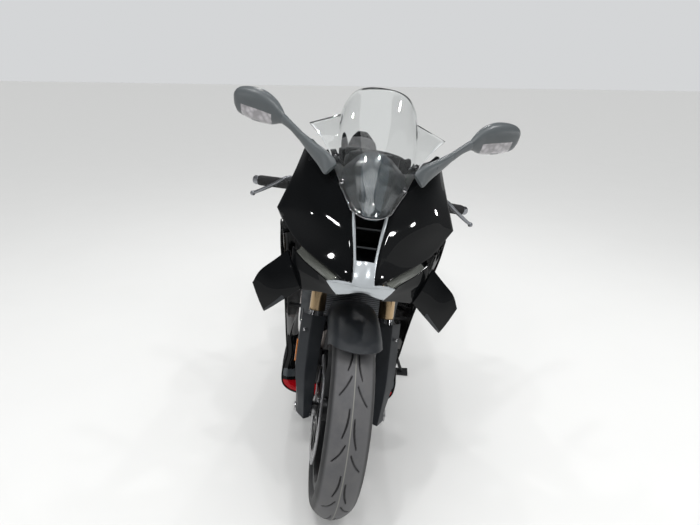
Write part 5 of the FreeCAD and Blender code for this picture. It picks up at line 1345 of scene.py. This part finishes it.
def swollen(made):
    """Fills the pad with air for some frames and keeps each point near its start."""
    remesh = made.modifiers.new("even", "REMESH")
    remesh.mode = "VOXEL"
    remesh.voxel_size = 0.006
    settled(made)
    start = np.empty(len(made.data.vertices) * 3)
    made.data.vertices.foreach_get("co", start)
    cloth = made.modifiers.new("air", "CLOTH")
    cloth.settings.use_pressure = True
    cloth.settings.uniform_pressure_force = 4
    cloth.settings.effector_weights.gravity = 0
    scene = bpy.context.scene
    for number in range(1, FRAMES + 1):
        scene.frame_set(number)
    settled(made)
    scene.frame_set(1)
    moved = np.empty_like(start)
    made.data.vertices.foreach_get("co", moved)
    step = (moved - start).reshape(-1, 3)
    length = np.linalg.norm(step, axis=1, keepdims=True)
    step *= np.minimum(1, SWELL_MM * MM / np.maximum(length, 1e-9))
    made.data.vertices.foreach_set("co", (start.reshape(-1, 3) + step).ravel())
    finer = made.modifiers.new("finer", "SUBSURF")
    finer.levels = finer.render_levels = 1
    return settled(made)


def seam_line(cover, stations, side):
    """A line that runs along the cover at one height up its rings, laid on its surface."""
    count = 64
    line = []
    for ring in rounded_rings(stations, SEAT_SHARE, 6, count):
        x, y, z = ring[round(SEAM_SHARE_UP * count)]
        _, place, _, _ = cover.closest_point_on_mesh(BIKE @ Vector((x, side * y, z)))
        line.append(to_bike @ place)
    return line


def seat(name, node, stations):
    cover = lofted(name, rounded_rings(stations, SEAT_SHARE, 5, 56), BIKE, LEATHER)
    shaded(swollen(cover), 60)
    lines = [seam_line(cover, stations, side)[2:-2] for side in (LEFT, RIGHT)]
    piping = [pipe(f"{name}_piping_{n}", line, 1.7, BIKE, LEATHER, sides=10, steps=2)
              for n, line in enumerate(lines)]
    sewn = []
    for side, line in zip((LEFT, RIGHT), lines):
        path = through(line, 12)
        for a, b in zip(path[::3], path[2::3]):
            place = Matrix.Translation((a + b) / 2 + Vector((0, -side * 4.2, 1.6)))
            upright = Matrix.Rotation(math.radians(90), 4, "X")
            sewn.append(place @ turn_to(b - a) @ upright @ Matrix.Diagonal((1, (b - a).length, 1, 1)))
    section = [(0, -0.5), (0.6, -0.5), (0.6, 0.5), (0, 0.5)]
    stitch = lathe(f"{name}_stitch", section, NO_POSE, THREAD, 6, closed=False)
    trim = joined(f"{name}_piping", piping + [repeated(f"{name}_stitches", stitch, sewn, BIKE)])
    bodied(trim, "seat_cover")
    bodied(cover, "seat_cover", node)


seat("rider_seat_cover", "rider_seat", SEAT_STATIONS)
seat("pillion_seat_cover", "pillion_seat", PILLION_STATIONS)

# Grips, bars and levers


def to_fork(point):
    """A point of the upright bike, told in the steering's pose."""
    ahead, up = point[0] - HEAD.x, point[2] - HEAD.z
    return Vector((ahead * math.cos(RAKE) + up * math.sin(RAKE), point[1],
                   up * math.cos(RAKE) - ahead * math.sin(RAKE)))


def grip_end(side):
    """The outer end of a handlebar and the way that the bar points there."""
    inner, outer = to_fork((428, side * 150, 905)), to_fork((325, side * 352, 880))
    return outer, (outer - inner).normalized()


def leg_pose(side):
    return facing(FORK, (FORK_OFFSET, side * FORK_HALF, 0), UP)


def bar_side(side, word):
    outer, way = grip_end(side)
    start = Vector((FORK_OFFSET - 8, side * (FORK_HALF + TUBE_RADIUS + 3), 119.3))
    ring_section = [(24.3, 108.3), (24.3, 130), (32, 130), (33, 129), (33, 109.3), (32, 108.3)]
    parts = [lathe(f"bar_ring_{word}", ring_section, leg_pose(side), DARK_ALLOY, 48),
             pipe(f"bar_{word}", [start, outer - way * 60], 11, FORK, DARK_ALLOY, steps=1)]
    section = [(0, -128), (17.8, -128), (18.6, -126), (18.6, -122), (16.2, -120)]
    for k in range(17):
        z = -116 + k * 6
        section += [(16.2, z - 1.6), (16.9, z - 1), (16.9, z + 1.4), (16.2, z + 2)]
    section += [(16.4, -13), (15, -12), (0, -12)]
    grip_pose = facing(FORK, outer, way)
    parts.append(lathe(f"grip_{word}", section, grip_pose, RUBBER, 40, closed=False))
    weight = [(0, -12), (13.4, -12), (14.5, -10.5), (14.5, 4), (12.6, 7.4), (6, 8), (5, 6), (0, 6)]
    parts.append(lathe(f"bar_weight_{word}", weight, grip_pose, ALLOY, 40, closed=False))
    perch = outer - way * 150
    lever_root = perch + Vector((34, 0, 8))
    bend, tip = perch + Vector((66, side * 30, 4)), to_fork((437, side * 349, 861))
    clamp = [squared_ring(perch + Vector((s * 38, 0, s * 7.6)), (1, 0, 0.2), ACROSS, 12.5 - 3 * s,
                          10 - 2.5 * s, 0.6, 20) for s in (-0.32, -0.1, 0.4, 0.8, 1)]
    parts.append(lofted(f"lever_perch_{word}", clamp, FORK, DARK_ALLOY, edge=0.8))
    line = [lever_root, bend, bend.lerp(tip, 0.35) + Vector((3, 0, -2)),
            bend.lerp(tip, 0.75) + Vector((2, 0, -2)), tip]
    sizes = [(9.5, 6), (9, 5.6), (8, 5), (6.5, 4.6), (5.4, 4.4)]
    stations = [(p, a, b) for p, (a, b) in zip(line, sizes)]
    parts.append(lofted(f"lever_{word}", loft_path(stations, 6, (1, 0, 0.2), 0.75), FORK, ALLOY))
    ball = [(0, -8)] + [(8 * math.sin(a), -8 * math.cos(a))
                        for a in (math.pi * k / 12 for k in range(1, 12))] + [(0, 8)]
    parts.append(lathe(f"lever_ball_{word}", ball, facing(FORK, tip, ACROSS), ALLOY, 24, closed=False))
    return parts


on_body(joined("bars_and_levers", bar_side(LEFT, "left") + bar_side(RIGHT, "right")), "steering",
        "dark_plastic", "handlebars")

# Chain, sprockets, rear disc and shock

DRIVE = Vector((-85, 0, 352))


def chain_path(count):
    """Places on the chain's pitch line, with the way it runs at each."""
    rear = to_bike @ Vector(JOINTS["rear_wheel_spin"]["pos_m"])
    gap = DRIVE - rear
    tilt = math.atan2(gap.z, gap.x)
    flank = math.asin((REAR_PITCH_RADIUS - DRIVE_PITCH_RADIUS) / math.hypot(gap.x, gap.z))
    top, low = tilt + math.pi / 2 - flank, tilt - math.pi / 2 + flank

    def on(centre, radius, angle):
        x, z = polar(radius, angle)
        return Vector((centre.x + x, CHAIN_LINE, centre.z + z))

    line = [on(rear, REAR_PITCH_RADIUS, top), on(DRIVE, DRIVE_PITCH_RADIUS, top)]
    turn = low - top
    line += [on(DRIVE, DRIVE_PITCH_RADIUS, top + turn * k / 24) for k in range(1, 25)]
    line += [on(rear, REAR_PITCH_RADIUS, low - (TURN + turn) * k / 60) for k in range(60)]
    line.append(line[0])
    lengths = [(b - a).length for a, b in zip(line, line[1:])]
    total = sum(lengths)
    spots, here, done = [], 0, 0.0
    for k in range(count):
        want = total * k / count
        while done + lengths[here] < want:
            done += lengths[here]
            here += 1
        a, b = line[here], line[here + 1]
        spots.append((a + (b - a) * ((want - done) / lengths[here]), (b - a).normalized()))
    return spots, total


_, chain_length = chain_path(1)
link_count = 2 * round(chain_length / CHAIN_PITCH / 2)
links, _ = chain_path(link_count)


def link_item(name, half_gap, thick, waist):
    """Two waisted side plates, one link long, on either side of the middle."""
    outline = []
    half, radius = CHAIN_PITCH / 2, 7
    for centre, start, middle in ((half, -0.5, waist), (-half, 0.5, -waist)):
        for k in range(7):
            x, z = polar(radius, math.pi * (start + k / 6))
            outline.append((centre + x, z))
        outline.append((0, middle))
    near, far = half_gap, half_gap + thick
    plates = [prism(f"{name}_{start}", outline, start, end, NO_POSE, STEEL, 0)
              for start, end in ((near, far), (-far, -near))]
    return joined(name, plates)


def link_spots(odd):
    spots = []
    for k in range(odd, link_count, 2):
        (a, _), (b, _) = links[k], links[(k + 1) % link_count]
        way = (b - a).normalized()
        turn = Matrix((way, Vector(ACROSS), way.cross(Vector(ACROSS)))).transposed().to_4x4()
        spots.append(Matrix.Translation((a + b) / 2) @ turn)
    return spots


outer_links = repeated("outer_links", link_item("outer_link", 6.1, 1.7, 5), link_spots(0), BIKE)
inner_links = repeated("inner_links", link_item("inner_link", 4.2, 1.7, 5.2), link_spots(1), BIKE)
roller = lathe("roller", [(0, -4.1), (5, -4.1), (5, 4.1), (0, 4.1)], NO_POSE, POLISHED, 12, closed=False)
pin = lathe("pin", [(0, -8), (2.6, -8), (2.6, 8), (0, 8)], NO_POSE, STEEL, 10, closed=False)
rivets = [Matrix.Translation(place) for place, _ in links]
rollers = repeated("rollers", roller, rivets, BIKE)
pins = repeated("pins", pin, rivets, BIKE)
bodied(joined("chain_links", [outer_links, inner_links, rollers, pins]), "steel", "chain")


def sprocket(name, teeth, pitch_radius, thick, inner, holes, y, pose):
    """A toothed ring: round gullets for the rollers between pointed teeth."""
    tooth = ((-0.5, -4.6), (-0.36, -4.0), (-0.24, -1.0), (-0.1, 2.6), (0.1, 2.6), (0.24, -1.0), (0.36, -4.0))
    outline = [polar(pitch_radius + lift, TURN * (k + share) / teeth)
               for k in range(teeth) for share, lift in tooth]
    cuts = [ring_of(inner, 64)]
    cuts += [ring_of(7, 20, polar(pitch_radius - 20, TURN * (k + 0.5) / holes)) for k in range(holes)]
    return flat_cut(name, [outline] + cuts, thick, at_y(pose, y), STEEL)


rear_ring = sprocket("rear_sprocket_ring", 44, REAR_PITCH_RADIUS, 5.5, REAR_PITCH_RADIUS - 34, 10, CHAIN_LINE,
                     REAR_HUB)
WEB_ARMS, WEB_ARM = 5, ((34, -0.62), (34, -0.36), (77, -0.17), (77, 0.17), (34, 0.36))
web = [polar(r, TURN * k / WEB_ARMS + u) for k in range(WEB_ARMS) for r, u in WEB_ARM]
rear_web = flat_cut("rear_sprocket_web", [web, ring_of(13, 40)], 5.4, at_y(REAR_HUB, CHAIN_LINE), DARK_ALLOY)
boss_section = [(BORE, HUB_HALF), (36, HUB_HALF), (36, 108), (35, 109.2), (BORE, 109.2)]
boss = lathe("rear_sprocket_boss", boss_section, REAR_HUB, DARK_ALLOY, 64)
web_bolts = bolt_ring("sprocket_bolts", 70, 5, CHAIN_LINE + 2.7, 1, REAR_HUB)
on_body(joined("rear_sprocket_fitted", [rear_ring, rear_web, boss, web_bolts]), "rear_wheel", "steel",
        "rear_sprocket")

rear_disc_y = -(REAR_DISC_FACE + DISC_THICK / 2)
rear_brake = drilled_disc("rear_brake_ring", REAR_DISC_RADIUS, REAR_DISC_BAND, rear_disc_y, REAR_HUB)
rear_centre = disc_carrier("rear_disc_carrier", REAR_DISC_RADIUS, REAR_DISC_BAND, 6, rear_disc_y, REAR_HUB)
hat_section = [(BORE, -REAR_DISC_FACE), (42, -REAR_DISC_FACE), (42, -HUB_HALF), (BORE, -HUB_HALF)]
rear_hat = lathe("rear_disc_hat", hat_section, REAR_HUB, DARK_ALLOY, 64)
rear_bolts = bolt_ring("rear_disc_bolts", 38, 5, rear_disc_y - DISC_THICK / 2, -1, REAR_HUB)
on_body(joined("rear_brake_disc", [rear_brake, rear_centre, rear_hat, rear_bolts]), "rear_wheel", "disc",
        "rear_disc")

low, high = Vector((-232, 0, 384)), Vector((-140, 0, 640))
way = (high - low).normalized()
shock_pose = facing(BIKE, low, way)
COIL_RADIUS, COIL_START, COIL_RISE, COIL_TURNS, COIL_STEPS = 27.5, 52, 19.5, 6.8, 20
coil = []
for k in range(int(COIL_TURNS * COIL_STEPS)):
    x, z = polar(COIL_RADIUS, TURN * k / COIL_STEPS)
    coil.append((x, COIL_START + k / COIL_STEPS * COIL_RISE, z))
spring = pipe("spring", coil, 5.2, shock_pose, RED, sides=12, steps=1)
shock_length = (high - low).length
damper_section = [(0, 0), (16, 0), (16, 40), (34, 40), (34, 48), (24, 49), (24, 187), (34, 188), (34, 206),
                  (16, 207), (16, shock_length), (0, shock_length)]
damper = lathe("damper", damper_section, shock_pose, DARK_ALLOY, 48, closed=False)
crosspin = pipe("shock_crosspin", [(high.x, -110, high.z), (high.x, 110, high.z)], 14, BIKE, STEEL, steps=1)
bodied(joined("shock_and_spring", [spring, damper, crosspin]), "steel", "rear_shock")

# Radiator: fins and tubes on the face of the core, tilted as it is

CORE_POSE = BIKE @ Matrix.Translation((388, 0, 535)) @ Matrix.Rotation(math.radians(12), 4, "Y")
fin = prism("fin", [(-0.35, -100), (0.35, -100), (0.35, 100), (-0.35, 100)], -1.0, 1.0, NO_POSE, CORE, 0)
fin_spots = [Matrix.Translation((15, -136 + 3.4 * k, 0)) @ Matrix.Rotation(math.radians(90), 4, "Z")
             for k in range(81)]
fins = repeated("fins", fin, fin_spots, CORE_POSE)
core_tube = prism("core_tube", [(-1, -1.1), (1, -1.1), (1, 1.1), (-1, 1.1)], -137, 137, NO_POSE, ALLOY, 0)
tube_spots = [Matrix.Translation((14.6, 0, -96 + 8 * k)) for k in range(25)]
core_tubes = repeated("core_tubes", core_tube, tube_spots, CORE_POSE)
bodied(joined("radiator_fins", [fins, core_tubes]), "core")

# Fittings: dash, fork tops, indicators, pegs, calipers, swingarm ends, silencer bands and fixings


def on_surface(node_name, start, way):
    """Where a line from an upright point meets a CAD node, and the way its surface faces there."""
    node = NODES[node_name]
    to_node = node.matrix_world.inverted() @ BIKE
    ahead = (to_node.to_3x3() @ Vector(way)).normalized()
    hit, spot, normal, _ = node.ray_cast(to_node @ Vector(start), ahead)
    if not hit:
        return None
    back = to_bike @ node.matrix_world
    return back @ spot, (back.to_3x3() @ normal).normalized()


def fixings(name, node_name, starts, radius, tall):
    """Cap screws seated on a CAD node where lines from the left and the right side meet it."""
    met = [on_surface(node_name, (x, side * y, z), (0, -side, 0)) for x, y, z in starts
           for side in (LEFT, RIGHT)]
    bodied(screws(name, [spot for spot in met if spot], radius, tall, BIKE, STEEL), "steel")


pod = [squared_ring((x, 0, z), AHEAD, ACROSS, half, tall, 0.3, 48)
       for x, z, half, tall in ((553, 1017, 70, 33), (556, 1017, 73, 36), (570, 1018, 73, 38),
                                (577, 1018, 69, 35))]
glass = [squared_ring((x, 0, 1017), AHEAD, ACROSS, half, tall, 0.25, 48)
         for x, half, tall in ((550.5, 63, 26.5), (553.4, 64, 27.5))]
bodied(joined("dash_pod", [lofted("dash_case", pod, BIKE, PLASTIC, edge=0.8),
                           lofted("dash_glass", glass, BIKE, BLACK, edge=0.5)]), "dark_plastic", "dash")

tops, pods = [], []
CAP_SECTION = [(0, 131), (23, 131), (23, 133), (21.5, 134.5), (13, 135), (12.5, 133.5), (9, 133.5),
               (8.6, 138), (7.6, 139), (2.4, 139), (2, 137.5), (0, 137.5)]
POD_SECTION = [(11, -153), (17, -153), (19.5, -150.5), (20, -146), (20, -134), (19, -131), (11, -131)]
for side, word in SIDES:
    tops.append(lathe(f"fork_cap_{word}", CAP_SECTION, leg_pose(side), DARK_ALLOY, 48, closed=False))
    clamp_spots = [((FORK_OFFSET - 29, side * (FORK_HALF - 16), z), (-1, 0, 0)) for z in (97, -94)]
    tops.append(screws(f"clamp_bolts_{word}", clamp_spots, 5, 5, FORK, STEEL))
    pods.append(lathe(f"switch_pod_{word}", POD_SECTION, facing(FORK, *grip_end(side)), PLASTIC, 40))
NUT_SECTION = [(0, 107.6), (19, 107.6), (19, 112), (17.5, 113.5), (10, 113.5), (9, 110), (0, 110)]
tops.append(lathe("stem_nut", NUT_SECTION, facing(FORK, (0, 0, 0), UP), STEEL, 36, closed=False))
on_body(joined("steering_top", tops), "steering", "alloy")
on_body(joined("switch_pods", pods), "steering", "dark_plastic")

lenses = []
INDICATOR_STATIONS = ((105, -849, 17, 9), (112, -850, 17.5, 10.4), (146, -849, 15.5, 10.4),
                      (154, -847, 12, 8))
for side, word in SIDES:
    rings = [squared_ring((x, side * y, 802), (0, side, 0), AHEAD, wide, tall, 0.7, 32)
             for y, x, wide, tall in INDICATOR_STATIONS]
    lenses.append(lofted(f"rear_indicator_{word}", rings, BIKE, ORANGE_LENS, edge=0.6))
bodied(joined("rear_indicator_lenses", lenses), "lamp")
plate_lamp = [squared_ring((x, 0, z), (-0.3, 0, -0.95), ACROSS, 22, 6, 0.5, 24)
              for x, z in ((-862, 772), (-868, 764), (-873, 758))]
bodied(lofted("plate_lamp", plate_lamp, BIKE, PALE_LENS, edge=0.6), "lamp")

PEG_SECTION = ribbed([(0, 0), (12.6, 0)], range(3, 60, 7), ((12.6, 0), (13.7, 1), (13.7, 4.4), (12.6, 5.4)),
                     [(12.6, 69), (0, 69)])
TOE_SECTION = ribbed([(0, 0), (8, 0)], (5, 17), ((8, 0), (8.8, 1), (8.8, 5), (8, 6)), [(8, 28), (0, 28)])
rubbers = []
for side, word in SIDES:
    peg_pose = facing(BIKE, (-262, side * 178, 402), (0, side, 0.05))
    toe_pose = facing(BIKE, (-104, side * 186, 366.5), (0, side, 0))
    rubbers.append(lathe(f"peg_rubber_{word}", PEG_SECTION, peg_pose, RUBBER, 32, closed=False))
    rubbers.append(lathe(f"toe_rubber_{word}", TOE_SECTION, toe_pose, RUBBER, 28, closed=False))
bodied(joined("peg_rubbers", rubbers), "dark_plastic")


def caliper_fittings(word, pose, middle, side, radius, length, half, drop):
    """Round piston covers and bolts on the outer face of a caliper."""
    parts = []
    face = middle + side * half
    cover = [(0, -1), (15, -1), (15, 1.4), (13.6, 2.4), (7, 2.4), (6, 1.2), (0, 1.2)]
    for n, x in enumerate((-length * 0.22, length * 0.22)):
        cover_pose = facing(pose, (x, face, radius - drop), (0, side, 0))
        parts.append(lathe(f"piston_cover_{word}_{n}", cover, cover_pose, ALLOY, 36, closed=False))
    spots = [((x, face, radius + 3), (0, side, 0)) for x in (-length * 0.42, 0, length * 0.42)]
    parts.append(screws(f"caliper_bolts_{word}", spots, 5, 4, pose, STEEL))
    return parts


parts = []
for side, word in SIDES:
    pose = FRONT_HUB @ Matrix.Rotation(math.radians(-62), 4, "Y")
    parts += caliper_fittings(word, pose, side * (DISC_FACE + DISC_THICK / 2), side, DISC_RADIUS, 112, 16, 22)
on_body(joined("front_caliper_fittings", parts), "steering", "steel")
pose = REAR_HUB @ Matrix.Rotation(math.radians(48), 4, "Y")
parts = caliper_fittings("rear", pose, rear_disc_y, RIGHT, REAR_DISC_RADIUS, 84, 15, 18)
bodied(joined("rear_caliper_fittings", parts), "steel")

ends = []
corners = [(-34, -14), (-28, -20), (28, -20), (34, -14), (34, -4), (34, 14), (28, 20), (-28, 20), (-34, 14)]
for side, word in SIDES:
    ends.append(flat_cut(f"adjuster_{word}", [corners, ring_of(18.4, 40)], 3, at_y(REAR_HUB, side * 150.6),
                         ALLOY))
    screw_line = [(-60, side * 139, 0), (-44, side * 139, 0)]
    ends.append(pipe(f"adjuster_screw_{word}", screw_line, 4, REAR_HUB, STEEL, sides=6, steps=1))
bodied(joined("chain_adjusters", ends), "alloy")

along = Vector((-0.86, -0.1, 0.5)).normalized()
start = Vector((-286, -181, 252))
bands = []
for n, (away, wide, tall) in enumerate(((58, 42.6, 56.6), (236, 46, 61.8))):
    rings = [squared_ring(start + along * (away + s), along, ACROSS, wide + grow, tall + grow, 1.0, 48)
             for s, grow in ((-9, 0.2), (-8, 1.6), (8, 1.6), (9, 0.2))]
    bands.append(lofted(f"silencer_band_{n}", rings, BIKE, STEEL))
lip_section = [(22.4, 296), (27.2, 296), (28, 299), (28, 304), (26.4, 306.4), (22.4, 306.4)]
bands.append(lathe("silencer_lip", lip_section, facing(BIKE, start, along), STEEL, 48))
bodied(joined("silencer_bands", bands), "exhaust_steel")

FRAME_BOLTS = [(330, 260, 760), (170, 260, 660), (0, 260, 560), (-90, 260, 470), (-118, 260, 330)]
fixings("frame_bolts", "frame", FRAME_BOLTS, 8, 5)
PIVOT_SECTION = [(0, -3), (19, -3), (19, 2), (17, 4), (9, 4), (8, 1.5), (0, 1.5)]
pivots = []
for side, word in SIDES:
    place, _ = on_surface("frame", (-162, side * 260, 355), (0, -side, 0))
    pose = facing(BIKE, place, (0, side, 0))
    pivots.append(lathe(f"pivot_cap_{word}", PIVOT_SECTION, pose, STEEL, 36, closed=False))
bodied(joined("pivot_caps", pivots), "steel")
